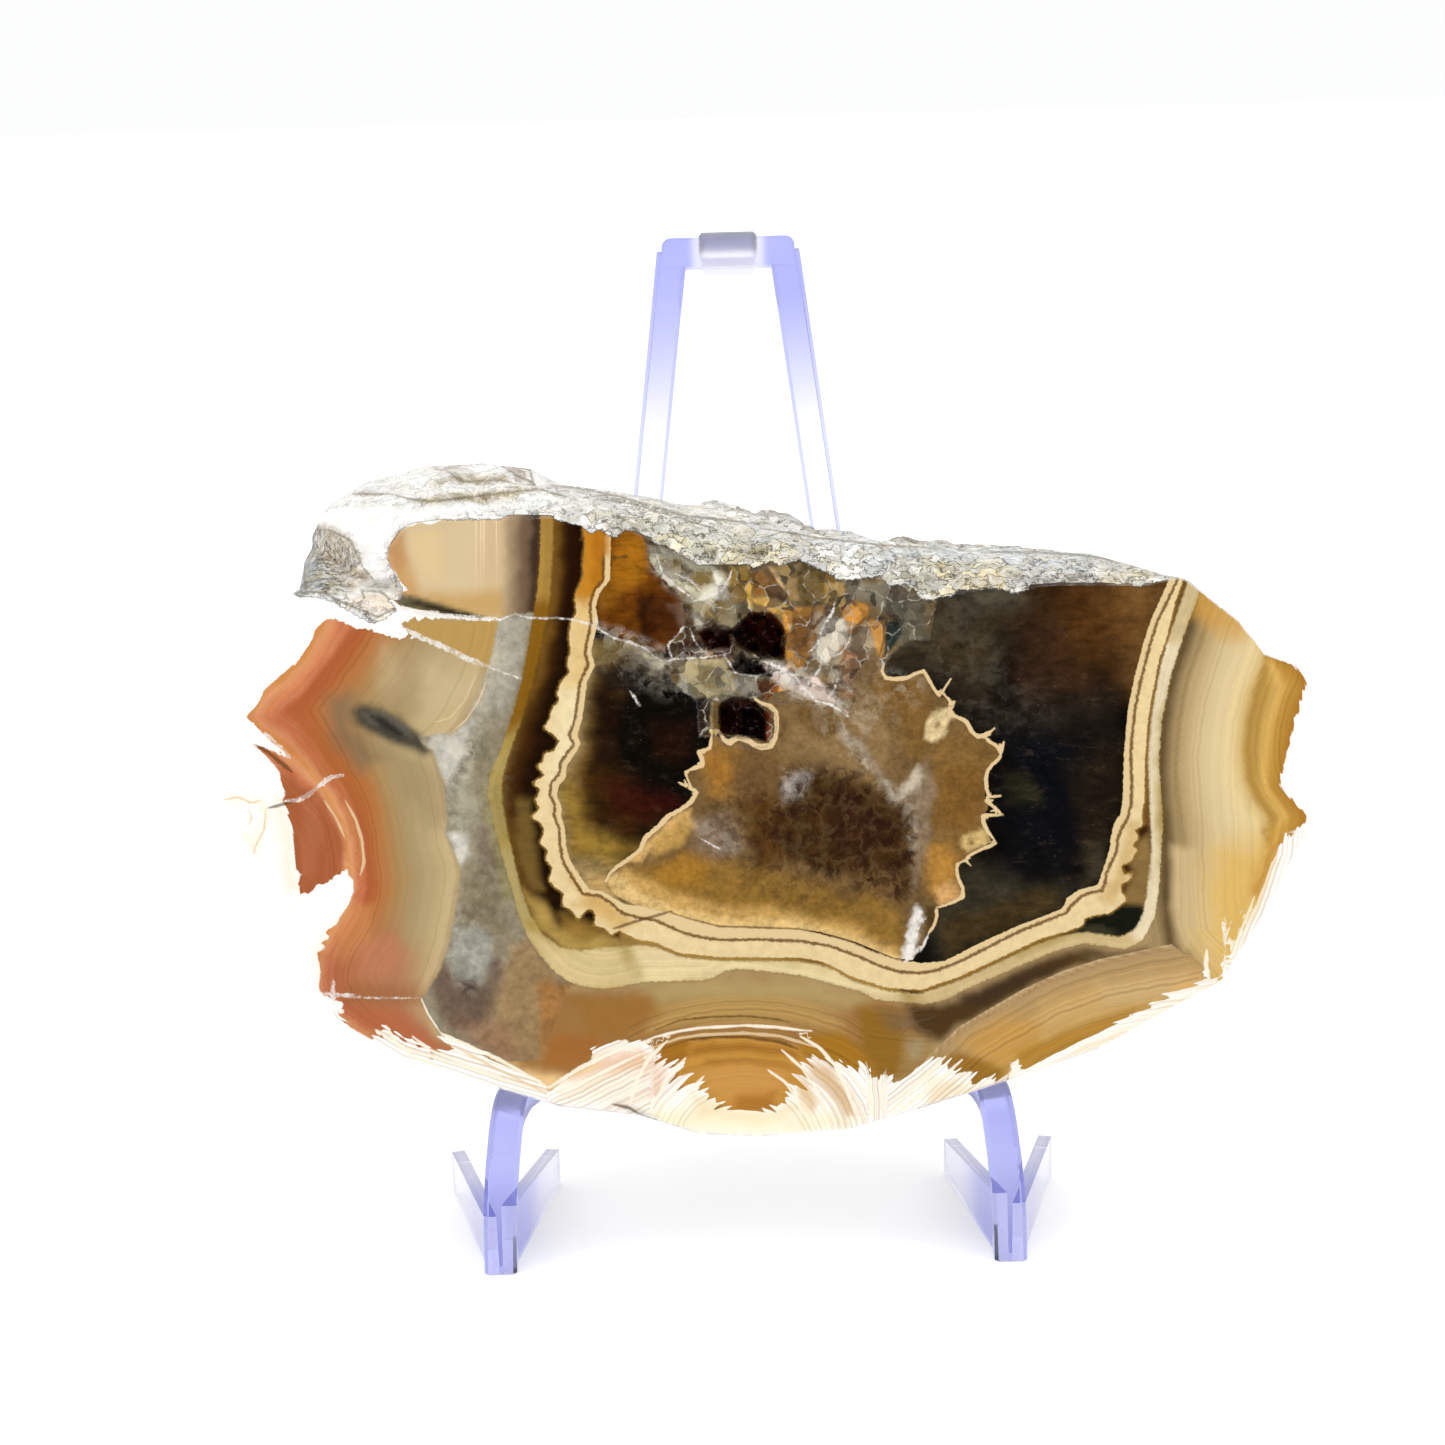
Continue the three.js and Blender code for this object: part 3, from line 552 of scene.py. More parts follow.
    "island": """
8c7048 16 0.8 6 790 695 880 690 900 740 880 790 820 770 780 760
9c8c78 5 0.7 4 838 716 866 750 890 790 902 800 892 800 846 740
7c5a2a 12 0.8 5 876 655 925 680 940 720 920 760 890 720 874 690
805e2e 14 0.85 8 925 725 975 730 995 760 985 830 960 880 935 880 930 800
765222 8 0.8 5 935 770 975 765 985 800 965 830 940 830
b07e34 8 0.85 5 925 838 945 845 962 870 960 898 938 905 926 890
8c7860 5 0.7 6 900 800 925 760 932 790 928 840 920 880 910 900 912 850
c4b49c 3 0.8 2 898 790 920 765 925 775 905 800
a0702e 12 0.75 6 700 752 716 742 740 750 738 790 706 800
986420 8 0.6 4 712 760 726 756 732 782 714 790
70522e 10 0.8 6 735 755 780 755 790 790 770 815 740 800
86705c 8 0.7 6 690 825 715 810 745 830 735 855 705 858
a89ea0 4 0.8 3 780 790 800 770 812 778 800 800 785 806
543610 12 0.95 8 738 798 790 798 784 862 750 872
402a0e 8 0.95 6 786 805 800 782 826 768 860 780 895 800 915 830 910 905 885 895 860 880 792 862 764 832
  772 815
321a0c 6 0.7 5 830 790 860 790 880 820 870 860 840 850 826 820
6c502c 10 0.8 6 860 870 905 880 908 925 880 920 850 900
8c682a 12 0.9 5 625 875 660 862 720 862 880 900 905 930 905 960 850 942 800 930 720 928 650 910
a07022 10 0.65 5 648 872 680 852 715 862 705 884 665 890
c49c58 7 0.9 3 606 880 625 866 650 885 720 905 800 912 850 925 900 950 905 965 850 944 800 932 720 930 650
  912 615 898
debc7c 4 0.8 2 606 880 618 872 640 893 672 906 720 918 800 921 850 933 905 958 905 966 850 944 800 932 720
  930 650 912 615 898
d8c08e 2 0.95 1 926 722 934 712 955 706 957 714 948 722 944 736 932 744 924 738
785c2c 1.5 0.9 0.5 935 721 940 721 940 727 935 727
ccae70 2 0.9 1 962 835 985 829 991 842 968 852 961 845
78541e 1.5 0.9 0.5 968 840 973 840 973 845 968 845
d4aa68 2.5 0.9 1 625 862 675 816 692 808 688 822 660 842 640 862
bc944e 4 0.9 2 655 838 685 815 695 825 680 845 650 860
f0eae0 2 0.95 4 911 925 917 905 923 912 921 932 914 948 912 962 903 960 906 945
ce9e62 3 0.9 2 934 888 955 880 962 898 940 905
3c2a10 3 0.8 2 924 908 934 905 936 925 926 935
62461e 5 0.7 3 798 700 832 708 842 730 820 738 802 722
""",
    # the broken crystals; the near-black tints here are painted shade inside the pits, and the small dark red
    # one at the right edge of the lowest pit is a painted glint
    "broken": """
aca68a 3 1 3 646 545 665 548 712 560 726 578 736 596 722 607 700 604 688 592 672 582 658 576 648 560
74602e 2 1 2 688 572 712 568 714 580 700 592 690 586
82703c 2 1 2 660 556 682 560 690 570 676 574 664 566
cecab8 1.5 0.9 1 712 566 734 590 728 598 712 598 694 602 716 584
c4c0aa 2 0.8 2 652 552 662 572 676 586 668 586 654 572
543a1a 3 1 2 676 590 690 612 700 640 680 640 668 606
a09476 2 0.9 1.5 690 600 708 604 704 620 692 612
8e763c 2 1 1.5 706 603 728 600 735 612 724 626 708 616
bcb4a0 2 0.8 1.5 694 615 702 616 706 632 696 630
a48030 2 1 1.5 728 568 750 566 753 590 751 612 736 612 728 596
98885c 2 1 1.5 726 600 752 606 752 616 738 626 724 626
704812 2 1 1.5 752 572 768 568 786 596 792 602 762 594 754 598
c4a068 1.5 0.9 0.5 768 566 774 568 788 592 784 596
9e804c 2 1 1.5 774 566 799 560 800 600 790 600
b28a40 2 1 1.5 752 600 766 596 790 604 790 620 776 616 764 606
644c16 3 1 2 797 568 826 570 838 582 824 606 800 606
967840 2 1 1.5 824 582 846 582 846 600 836 606 826 604
766c58 5 1 3 846 582 905 578 918 600 905 620 886 612 868 600 846 602
5e5844 4 0.9 3 886 600 930 598 926 640 905 650 896 640 902 620
1a241e 1.5 1 1 886 622 904 619 902 636 890 650 881 656 884 638
be822e 2 1 1.5 783 608 824 606 824 620 812 655 800 668 788 672 783 650
a06822 3 0.8 2 790 618 814 616 806 645 792 650
cea468 1.5 0.8 1 788 624 796 623 796 628 788 629
b87c28 2 1 1.5 840 606 856 600 868 608 868 618 852 634 846 636 846 620
c48a3e 2 1 1.5 868 620 886 620 884 645 880 660 872 640
bcb29e 2 1 2 820 618 846 620 848 640 836 656 822 664 812 654 818 640
9c8668 2.5 1 2 848 640 866 622 876 640 878 662 862 682 840 684 838 662
845c3a 4 0.9 3 840 650 868 650 872 680 850 700 836 690
a6966c 2 1 1.5 671 660 723 658 739 690 732 699 716 702 700 698 688 682
8a7642 3 0.8 2 690 664 716 664 726 684 706 690
68501e 2.5 1 2 660 666 674 664 690 688 690 700 668 690
a09a86 2 0.9 2 676 672 698 698 690 702 680 690
3c1808 1.5 1 1 678 642 700 640 706 648 702 657 680 658
785426 2 1 1 700 650 722 650 722 658 704 658
360c04 1.5 1 1 699 629 706 623 716 625 733 640 737 650 730 658 714 653 702 644
381004 1.5 1 1 729 630 752 612 772 612 784 626 786 660 768 660 750 650 738 646
643008 5 0.8 3 752 622 764 618 770 640 756 642
706232 3 1 2 738 646 756 642 776 650 784 660 762 660 746 655
8c8060 2 0.9 1 733 650 745 650 760 660 742 657
050201 1.2 1 0.5 728 665 738 656 752 657 773 672 755 677 738 674
807868 2 1 2 734 676 760 679 766 690 756 694 742 694 736 686
7c420e 2.5 1 1.5 755 682 776 680 786 684 784 700 768 700 758 692
be8428 3 0.9 1.5 780 682 792 690 790 702 780 704
d6beb0 2 0.95 2 763 662 782 664 800 678 816 674 832 690 838 702 850 716 838 713 822 700 804 698 788 690
  774 678
e8e0d8 2 0.8 2 766 663 782 667 798 680 792 684 776 674
040201 1.2 1 0.5 719 706 729 698 744 696 764 708 768 719 766 741 733 732 721 736
723416 1.5 1 0.5 765 712 771 712 771 736 766 742 764 728
5c1e0a 1.5 0.9 0.5 720 728 728 731 726 738 721 737
200e04 1.5 1 1 695 700 704 697 713 703 711 734 700 736
98762e 1.5 1 0.5 712 702 719 703 720 733 711 733
e6cc96 1 0.8 0.5 711 702 713.5 702 712.5 733 710 733
""",
    "quartz": """
a6a08e 8 0.9 4 495 615 530 612 525 650 516 690 500 712 480 712 490 670
b2aa96 7 0.8 4 488 640 500 640 488 700 465 735 440 745 462 718
c4c0b4 6 0.9 4 428 738 455 736 475 722 470 745 448 790 440 765
867c62 8 0.9 4 470 735 510 725 495 770 488 800 470 800 462 770
a09a82 6 0.7 4 450 780 470 775 478 815 468 850 458 862 450 840
ccc8bc 4 0.9 3 449 830 464 835 470 852 462 868 455 855
6a5848 6 0.85 4 478 828 492 820 502 845 500 870 482 865
7c7056 12 0.9 4 462 870 500 865 512 920 505 945 460 930
9a988c 6 0.85 5 452 930 485 930 498 960 485 985 455 985 446 960
645042 7 0.9 5 430 985 442 960 455 980 480 988 500 955 512 975 498 1010 478 1028 450 1024 430 1005
54423a 4 0.7 4 462 985 478 980 480 992 465 996
987c54 10 0.95 4 500 990 512 945 530 938 560 975 560 1062 500 1062 475 1040 490 1020
8e684e 10 0.6 4 450 1020 500 1020 520 1050 540 1062 500 1062 460 1040
9e6e3a 7 0.9 3 538 985 578 980 578 1064 538 1064
8a8256 6 0.8 3 498 760 492 800 515 890 505 900 494 850 482 810
""",
    # the near-white tints at the top left are painted light: the crust there is painted as washed out by
    # strong light
    "crust": """
fffefb 3 1 2 120 700 120 560 290 550 303 560 303 597 318 594 335 601 372 624 404 612 404 660 300 660
fffefa 7 1 4 340 500 420 500 545 495 600 520 590 540 545 520 420 522 400 530 386 560 400 592 395 600 370
  575 352 545 330 530
fffefa 9 1 5 300 460 480 455 570 470 560 500 420 505 330 520 290 520
969896 3 1 3 290 560 300 532 318 524 332 534 324 556 330 575 352 585 335 600 318 593 296 600
cec0ac 4 0.95 4 322 525 345 536 370 582 350 590 330 575 322 555
cec8be 4 0.9 4 352 580 385 575 405 590 400 600 370 590
3c3c3a 1.5 0.9 1.5 320 582 328 592 322 596 317 588
f0e0cc 3 0.95 2 350 600 372 592 398 600 400 608 372 620 352 606
c4b28c 4 0.95 3 412 499 520 487 542 490 500 500 430 504
a08e6c 1.5 0.85 2 425 501 520 490 470 500 430 503
beb096 3 0.95 3 430 480 455 476 505 473 512 483 460 485
cec2b8 3 0.9 3 425 466 452 462 470 470 440 474
b2a69c 2 0.9 2 352 492 372 489 376 494 356 497
cebeb6 2 1 2 500 463 520 464 532 475 520 483 508 474
dedbd4 4 0.8 5 540 482 580 488 575 500 545 496
b0ae9e 3 0.85 3 560 510 585 508 582 524 562 522
fcfaf6 3 0.95 2 585 505 602 512 602 526 590 534 582 522
c4bca4 4 0.85 5 600 520 640 520 650 536 612 540
f8f0d0 5 0.9 6 640 530 700 530 790 545 800 562 720 562 660 548
fcf8ec 4 0.8 5 650 500 720 505 760 520 700 520 650 512
f4e8c4 4 0.8 4 720 545 800 550 800 566 740 566
d0d2ca 3 0.7 6 620 520 840 545 700 542 640 530
eaecea 5 0.8 6 830 535 900 540 900 570 840 565
d8ddde 4 0.7 6 900 545 1000 548 1060 555 1000 566 920 560
f0e2ba 3 0.95 4 910 566 960 562 1012 570 1008 594 940 600 914 594
f6eed6 2.5 0.8 4 925 580 960 574 1000 580 1000 594 940 600
dee2e2 5 0.8 6 1000 545 1120 548 1100 570 1020 572
f0e6c8 3 0.8 4 1090 568 1160 570 1150 584 1100 584
8c887c 2 0.7 3 1010 574 1090 572 1090 582 1020 586
beb6a4 4 0.6 5 1110 550 1160 566 1130 572 1100 562
""",
    "ochre": """
9c7836 8 0.9 3 530 480 570 480 560 600 530 600
b0863a 5 0.6 2 534 540 546 530 546 600 532 600
805608 9 0.95 3 520 600 560 600 548 700 510 735 500 720
a48c46 8 0.9 3 490 735 525 740 515 790 486 780
968248 8 0.9 3 484 785 510 785 515 840 495 840
aa9864 9 0.8 3 495 850 520 850 535 920 515 920
d2bc86 10 0.95 3 525 930 560 945 620 945 640 985 560 990
e2ce9c 12 0.9 3 630 940 840 965 900 985 900 1010 760 980 640 990
ceb686 8 0.8 2 900 985 1000 960 1085 930 1160 930 1160 950 1080 955 930 1010
b8a078 3 0.6 1 700 974 760 969 930 1004 1080 944 1110 947 1000 980 925 1010 830 986 760 975
e0d0ac 6 0.95 2 1130 930 1145 840 1145 700 1160 640 1185 640 1160 720 1156 800 1163 900 1150 950
ceb88c 5 0.8 2 1160 640 1195 560 1215 560 1180 650
b49c76 1.5 0.7 0.5 1156 640 1148 800 1152 880 1149 880 1144 800 1146 700 1152 640
""",
    "dark": """
dark 2 1 0 480 480 700 480 700 930 480 930
74501a 7 0.7 3 548 500 562 500 560 600 548 660 535 700 530 690 545 600
220c02 7 0.8 2 566 500 590 500 585 600 570 640 562 620
765c2a 6 0.8 3 514 800 530 800 535 850 545 890 530 890 515 840
aa8c48 6 0.95 3 524 890 545 905 560 925 600 935 640 942 600 952 560 950 535 920
8c6a2c 6 0.8 3 556 912 572 915 606 932 590 940 565 935
96763c 3 0.95 1 620 930 680 948 760 955 840 965 900 985 900 1000 620 950
7c5a26 3 0.9 1 920 985 1000 955 1060 930 1060 942 1000 970 920 1000
14160d 4 1 2 1066 940 1082 918 1100 914 1128 903 1146 905 1140 930 1120 938 1090 936
3c3824 3 0.8 2 1076 930 1100 925 1120 932 1100 935
84683a 5 1 3 1122 902 1140 840 1150 830 1154 870 1148 905
705022 3 0.9 1 1140 820 1150 700 1165 640 1190 560 1200 560 1160 700 1154 800 1154 830
""",
    "cream": """
be7e1e 8 1 3 570 480 610 480 610 600 590 612 572 605
dab878 10 0.8 3 572 600 600 600 590 690 565 690
ac6810 5 0.8 2 590 500 606 500 606 580 594 590
e8d6a8 8 0.8 3 560 690 590 690 575 800 545 800
dec692 8 0.7 3 545 800 560 800 580 880 560 890
c49d5c 6 0.9 3 572 866 584 884 612 900 612 912 585 900 566 880
cea660 7 0.8 3 575 905 590 895 615 905 640 925 620 930
c4a060 6 0.7 3 1100 900 1120 860 1130 820 1142 820 1135 860 1115 905
e4cc96 8 0.7 3 1128 800 1132 700 1160 600 1180 560 1190 560 1160 680 1146 800
""",
}

# where a soft effect shows: strength, softness in pixels, then the outline
VEILS = {
    "frost": """
0.8 6 598 624 625 630 668 650 664 664 640 652 612 644 598 636
0.9 6 640 646 668 652 724 650 724 664 690 666 668 676 650 668
0.3 8 600 640 660 660 690 690 664 700 630 680 600 668
0.6 5 646 545 690 552 726 575 738 598 724 610 694 606 668 590 650 570
0.3 6 690 596 740 600 735 628 700 632 684 612
1 6 760 656 795 664 815 676 830 690 850 716 835 716 775 690
0.7 6 796 650 826 640 846 660 856 690 850 712 826 704 806 690 796 670
0.5 5 816 606 850 600 856 622 846 650 818 662 808 650
0.25 6 720 654 765 654 770 690 740 700 716 690
0.12 6 760 560 820 560 826 610 770 610
0.15 8 668 655 735 655 744 700 690 704
0.85 7 424 735 470 724 484 738 468 780 452 796 440 780
0.5 6 446 795 464 785 468 830 464 872 452 850
0.45 8 452 900 480 905 484 960 470 1000 448 975
0.3 9 480 640 520 620 512 700 480 740 462 730
0.15 14 480 740 510 750 495 850 520 940 500 1000 470 900
0.35 10 690 820 730 815 745 850 710 860
0.5 6 778 768 812 768 806 796 782 800
0.7 5 838 712 884 775 905 798 896 806 870 780 846 748
0.45 4 900 792 916 766 922 790 917 850 912 880 907 830
0.35 10 800 700 880 690 900 720 860 740 820 735
0.4 8 870 660 925 680 920 705 880 700
0.5 4 904 958 914 904 924 908 922 930 914 955
0.06 16 860 590 960 590 1000 650 1060 720 1000 740 930 670
0.4 8 905 1000 935 1005 930 1045 905 1060 890 1030
""",
    # calm: the top left and top edge of the crust, left plain and near white there as painted light, where
    # strong light washes it out
    "calm": """
1 12 270 500 340 498 420 502 600 496 610 508 545 506 480 512 400 528 384 560 398 600 380 612 345 596 360
  560 345 535 300 520
0.6 12 270 430 600 430 605 500 430 505 270 505
1 6 120 700 120 560 290 550 301 560 301 597 318 597 335 604 372 626 404 614 404 660 300 660
0.5 20 600 470 1180 520 1180 556 900 545 600 500
""",
    "mottle": """
1 14 760 790 800 765 850 765 900 795 922 840 916 900 890 905 830 885 780 865 752 825
0.6 18 700 790 760 770 800 860 900 920 780 905 720 870
0.35 20 620 700 680 700 680 800 620 820 590 780
""",
}

# the two lines between which each ramp of colours runs, or one line and a width in mm
RAMPS = {
    "chevron": ("chevron_edge", "quartz_edge"),
    "tan": ("tan_start", "right_band"),
    "cusp": ("right_band", "rim_right"),
    "dark": ("ochre_inner", "cream_outer"),
    "fan": ("fan_top", 7.5),
    "chamber": ("chamber_edge", 4.1),
}
# the growth lines that bound a layer of the nodule's middle
EDGES = ("ochre_outer", "ochre_inner", "cream_outer", "cream_inner", "chamber_edge")


def outline(text):
    """Points of the stone's own shape, right and up in mm."""
    return np.array(text.split(), float).reshape(-1, 2)


def path(text):
    """Points in mm from places in the photograph, in pixels across and down."""
    return (outline(text) - PX_MIDDLE) * (1, -1) / PX_PER_MM


def colour(code):
    """Linear colour from the hexadecimal code that a screen shows."""
    c = np.array([int(code[i : i + 2], 16) for i in (0, 2, 4)]) / 255
    return np.where(c <= 0.04045, c / 12.92, ((c + 0.055) / 1.055) ** 2.4)


def smooth(t):
    t = np.clip(t, 0, 1)
    return t * t * (3 - 2 * t)


def bumps(xy, cell, seed):
    """Smooth random values from -1 to 1 over the plane, about one bump per cell."""
    p = xy / cell + seed * 17.3
    i = np.floor(p).astype(np.int64)
    f = smooth(p - i)

    def corner(a, b):
        n = (i[:, 0] + a) * 374761393 + (i[:, 1] + b) * 668265263 + seed * 1442695
        n = (n ^ (n >> 13)) * 1274126177 & 0x7FFFFFFF
        return ((n ^ (n >> 16)) & 0xFFFF) / 32767.5 - 1

    low = corner(0, 0) * (1 - f[:, 0]) + corner(1, 0) * f[:, 0]
    high = corner(0, 1) * (1 - f[:, 0]) + corner(1, 1) * f[:, 0]
    return low * (1 - f[:, 1]) + high * f[:, 1]


def ragged(xy, size, seed):
    """Points moved about by up to about the size given, so that an outline drawn through them looks torn."""
    wide, narrow = 3 * size + 0.6, size + 0.3
    right = bumps(xy, wide, seed + 3) + 0.5 * bumps(xy, narrow, seed + 5)
    up = bumps(xy, wide, seed + 31) + 0.5 * bumps(xy, narrow, seed + 37)
    return xy + size * np.stack([right, up], 1)


def nearest(xy, line):
    """Offset from each point to the nearest place on an open line, its length, and how far along it is."""
    best = np.full(len(xy), 1e18)
    offset = np.zeros_like(xy)
    along = np.zeros(len(xy))
    for k, (a, b) in enumerate(zip(line[:-1], line[1:])):
        d = b - a
        t = np.clip(((xy - a) @ d) / max(d @ d, 1e-12), 0, 1)
        gap = a + t[:, None] * d - xy
        size = (gap * gap).sum(1)
        near = size < best
        best = np.where(near, size, best)
        offset[near] = gap[near]
        along = np.where(near, (k + t) / (len(line) - 1), along)
    return offset, np.sqrt(best), along


def distance(xy, line):
    return nearest(xy, line)[1]


def closed(ring):
    return np.vstack([ring, ring[:1]])


def inside(xy, ring):
    """Signed distance to a closed outline, positive inside it, mm."""
    loop = closed(ring)
    hit = np.zeros(len(xy), bool)
    for a, b in zip(loop[:-1], loop[1:]):
        if a[1] != b[1]:
            cross = (a[1] > xy[:, 1]) != (b[1] > xy[:, 1])
            hit ^= cross & (xy[:, 0] < (b[0] - a[0]) * (xy[:, 1] - a[1]) / (b[1] - a[1]) + a[0])
    gap = distance(xy, loop)
    return np.where(hit, gap, -gap)


def reach(ring, angles):
    """How far from the middle of the face a closed outline is along each angle."""
    out = np.zeros(len(angles))
    ux, uy = np.cos(angles), np.sin(angles)
    for a, b in zip(ring, np.roll(ring, -1, 0)):
        ex, ey = b - a
        det = uy * ex - ux * ey
        with np.errstate(divide="ignore", invalid="ignore"):
            r = (a[1] * ex - a[0] * ey) / det
            s = (ux * a[1] - uy * a[0]) / det
        ok = (np.abs(det) > 1e-12) & (r > 0) & (s >= -1e-9) & (s <= 1 + 1e-9)
        out = np.where(ok, np.maximum(out, r), out)
    return out


def within(xy, line, room):
    """Indices of the points that lie in the line's box, with some room round it."""
    return np.flatnonzero(((xy > line.min(0) - room) & (xy < line.max(0) + room)).all(1))


def ramp(xy, name):
    """Colours that follow each other between two lines, or over a width from one line."""
    first, last = RAMPS[name]
    gap = distance(xy, path(LINES[first]))
    whole = last if isinstance(last, float) else gap + distance(xy, path(LINES[last])) + 1e-9
    share = gap / whole + 0.012 * bumps(xy, 1.6, 71) + 0.006 * bumps(xy, 0.6, 73)
    stops = STOPS[name].split()
    shares = [float(stop) for stop in stops[::2]]
    tones = np.array([colour(code) for code in stops[1::2]])
    return np.stack([np.interp(share, shares, tones[:, i]) for i in range(3)], 1)


def paint(xy, layer):
    """Linear colours of one layer at each point of the face."""
    out = np.tile(colour(BASES[layer]), (len(xy), 1))
    for k, (tint, soft, strength, wobble, area) in enumerate(entries(TINTS[layer], 4)):
        ring = path(area)
        soft = max(float(soft) / PX_PER_MM, 0.1)
        wobble = float(wobble) / PX_PER_MM
        near = within(xy, ring, soft + wobble + 0.2)
        if not len(near):
            continue
        here = ragged(xy[near], wobble, k) if wobble else xy[near]
        mask = smooth(inside(here, ring) / soft * 0.5 + 0.5) * float(strength)
        fill = ramp(here, tint) if tint in STOPS else colour(tint)
        out[near] += (fill - out[near]) * mask[:, None]
    return out


def strokes(xy, group):
    """Offset to the nearest thin line of a group, and that line's half width there (mm)."""
    out = np.zeros((len(xy), 3))
    out[:, 2] = -0.6
    best = np.full(len(xy), STROKE_REACH)
    for k, (width, points) in enumerate(entries(STROKES[group], 1)):
        line = path(points)
        near = within(xy, line, 1)
        if not len(near):
            continue
        here = xy[near]
        offset, gap, along = nearest(here, line)
        wide = float(width) / PX_PER_MM * (0.45 + 0.55 * smooth(np.minimum(along, 1 - along) * 5))
        wide = wide * (1 + 0.3 * bumps(here, 0.9, k + 11))
        closer = gap < best[near]
        out[near[closer], :2] = offset[closer]
        out[near[closer], 2] = wide[closer]
        best[near[closer]] = gap[closer]
    return out


def face_profile(angles):
    """Radius of the silhouette and of the cut's edge at each angle, mm."""
    rim = reach(outline(OUTLINE), angles)
    top = outline(CUT_TOP)
    cut = reach(np.vstack([top, [[0, 0]]]), angles)
    first, last = math.atan2(top[0][1], top[0][0]), math.atan2(top[-1][1], top[-1][0])
    turn = np.mod(angles, 2 * math.pi)
    crust = (turn >= first) & (turn <= last)
    return rim, np.minimum(np.where(crust, cut, rim), rim - RIM_CHAMFER)


def hexagons(low, high, step):
    """Points of a honeycomb grid between two corners."""
    rows = []
    for j, y in enumerate(np.arange(low[1], high[1], step * math.sqrt(0.75))):
        x = np.arange(low[0] + (j % 2) * step / 2, high[0], step)
        rows.append(np.stack([x, np.full(len(x), y)], 1))
    return np.vstack(rows)


def front(angles):
    """Points and triangles of all that is seen square on: polished face, rim and the crust above it."""
    rim, cut = face_profile(angles)
    around = np.stack([np.cos(angles), np.sin(angles)], 1)
    left, bottom, right, top = FINE_AREA
    grid = hexagons(FACE_LOW, FACE_HIGH, FACE_STEP)
    x, y = grid[:, 0], grid[:, 1]
    fine = (x > left) & (x < right) & (y > bottom) & (y < top)
    grid = np.vstack([grid[~fine], hexagons((left, bottom), (right, top), FINE_STEP)])
    loops = [around * rim[:, None], around * cut[:, None]]
    here = np.arctan2(grid[:, 1], grid[:, 0])
    radius = np.hypot(grid[:, 0], grid[:, 1])
    wrap = np.concatenate([angles - 2 * math.pi, angles, angles + 2 * math.pi])
    rim_here = np.interp(here, wrap, np.tile(rim, 3))
    cut_here = np.interp(here, wrap, np.tile(cut, 3))
    clear = 0.35 * FACE_STEP
    keep = (radius < rim_here - clear) & (np.abs(radius - cut_here) > clear)
    for loop in loops:
        keep &= distance(grid, closed(loop)[::3]) > clear
    points = np.vstack([loops[0], loops[1], grid[keep]])
    n = len(angles)
    edges = [(i, (i + 1) % n) for i in range(n)] + [(n + i, n + (i + 1) % n) for i in range(n)]
    made = delaunay_2d_cdt([Vector(p) for p in points], edges, [], 1, 1e-6)
    xy = np.array([v[:] for v in made[0]])
    index = {o: i for i, origins in enumerate(made[3]) for o in origins}
    return xy, made[2], [index[i] for i in range(n)]


def depths(xy, rim, cut):
    """How far each point of the front lies behind the cut plane, mm (positive is behind)."""
    radius = np.hypot(xy[:, 0], xy[:, 1])
    gap = rim - cut - RIM_CHAMFER
    widest = RIM_DEPTH + CRUST_RISE * np.maximum(gap, 0)
    t = np.clip((radius - cut) / np.maximum(rim - cut, 1e-6), 0, 1)
    out = widest * np.interp(t, [0, 0.45, 0.8, 1], [0, 0.22, 0.6, 1])
    crust = smooth(gap / 1.5) * smooth(t / 0.12) * smooth((1 - t) / 0.1)
    rough = 0.9 * bumps(xy, 2.6, 41) + 0.5 * bumps(xy, 1.1, 42) + 0.3 * bumps(xy, 0.5, 43)
    facets = np.abs(bumps(xy * (1, 1.6), 1.7, 44))
    out += crust * np.minimum(widest * 0.22, 1.0) * (rough - 0.8 * facets)
    flat = (radius < cut - 0.3).astype(float)
    torn = xy + 0.12 * np.stack([bumps(xy, 0.7, 51), bumps(xy, 0.7, 52)], 1)
    for k, (deep, area) in enumerate(PITS):
        floor = deep * (0.8 + 0.35 * bumps(xy, 0.8, 60 + k) + 0.2 * bumps(xy, 0.4, 64 + k))
        out += flat * smooth(inside(torn, outline(area)) / 0.55 + 0.3) * floor
    return out


def cad_surface():
    """The CAD stone, for rays, in the stone's own frame."""
    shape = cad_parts["agate_half_nodule"].data
    to_own = (Matrix.Scale(MM, 4) @ PLACE).inverted()
    corners = [to_own @ v.co for v in shape.vertices]
    return BVHTree.FromPolygons(corners, [p.vertices[:] for p in shape.polygons])


def dome_radii(edge):
    """Directions of the dome's points from the ray start, row by row, and how far away the CAD stone is."""
    tree = cad_surface()
    start = np.arctan2(edge[:, 2] - RAY_START.z, np.hypot(edge[:, 0], edge[:, 1]))
    bearing = np.arctan2(edge[:, 1], edge[:, 0])
    radii = np.zeros((DOME_ROWS + 1, AROUND))
    ways = np.zeros((DOME_ROWS + 1, AROUND, 3))
    for j in range(DOME_ROWS + 1):
        lift = start + (-math.pi / 2 - start) * (j / DOME_ROWS) ** 0.97
        level = np.cos(lift)
        ways[j] = np.column_stack([level * np.cos(bearing), level * np.sin(bearing), np.sin(lift)])
        for i in range(0, AROUND, 2):
            hit = tree.ray_cast(RAY_START, Vector(ways[j, i]))
            radii[j, i] = hit[3] if hit[3] else 0
    radii[:, 1::2] = (radii[:, 0::2] + np.roll(radii[:, 0::2], -1, 1)) / 2
    exact = np.linalg.norm(edge - np.array(RAY_START), axis=1)
    radii[0] = exact
    for _ in range(DOME_SMOOTHING):
        soft = sum(np.roll(radii, k, 1) for k in (0, 1, -1, 3, -3)) / 5
        soft[1:-1] = (soft[:-2] + 2 * soft[1:-1] + soft[2:]) / 4
        soft[0] = exact
        soft[-1] = soft[-1].mean()
        radii = soft
    return start, ways, radii


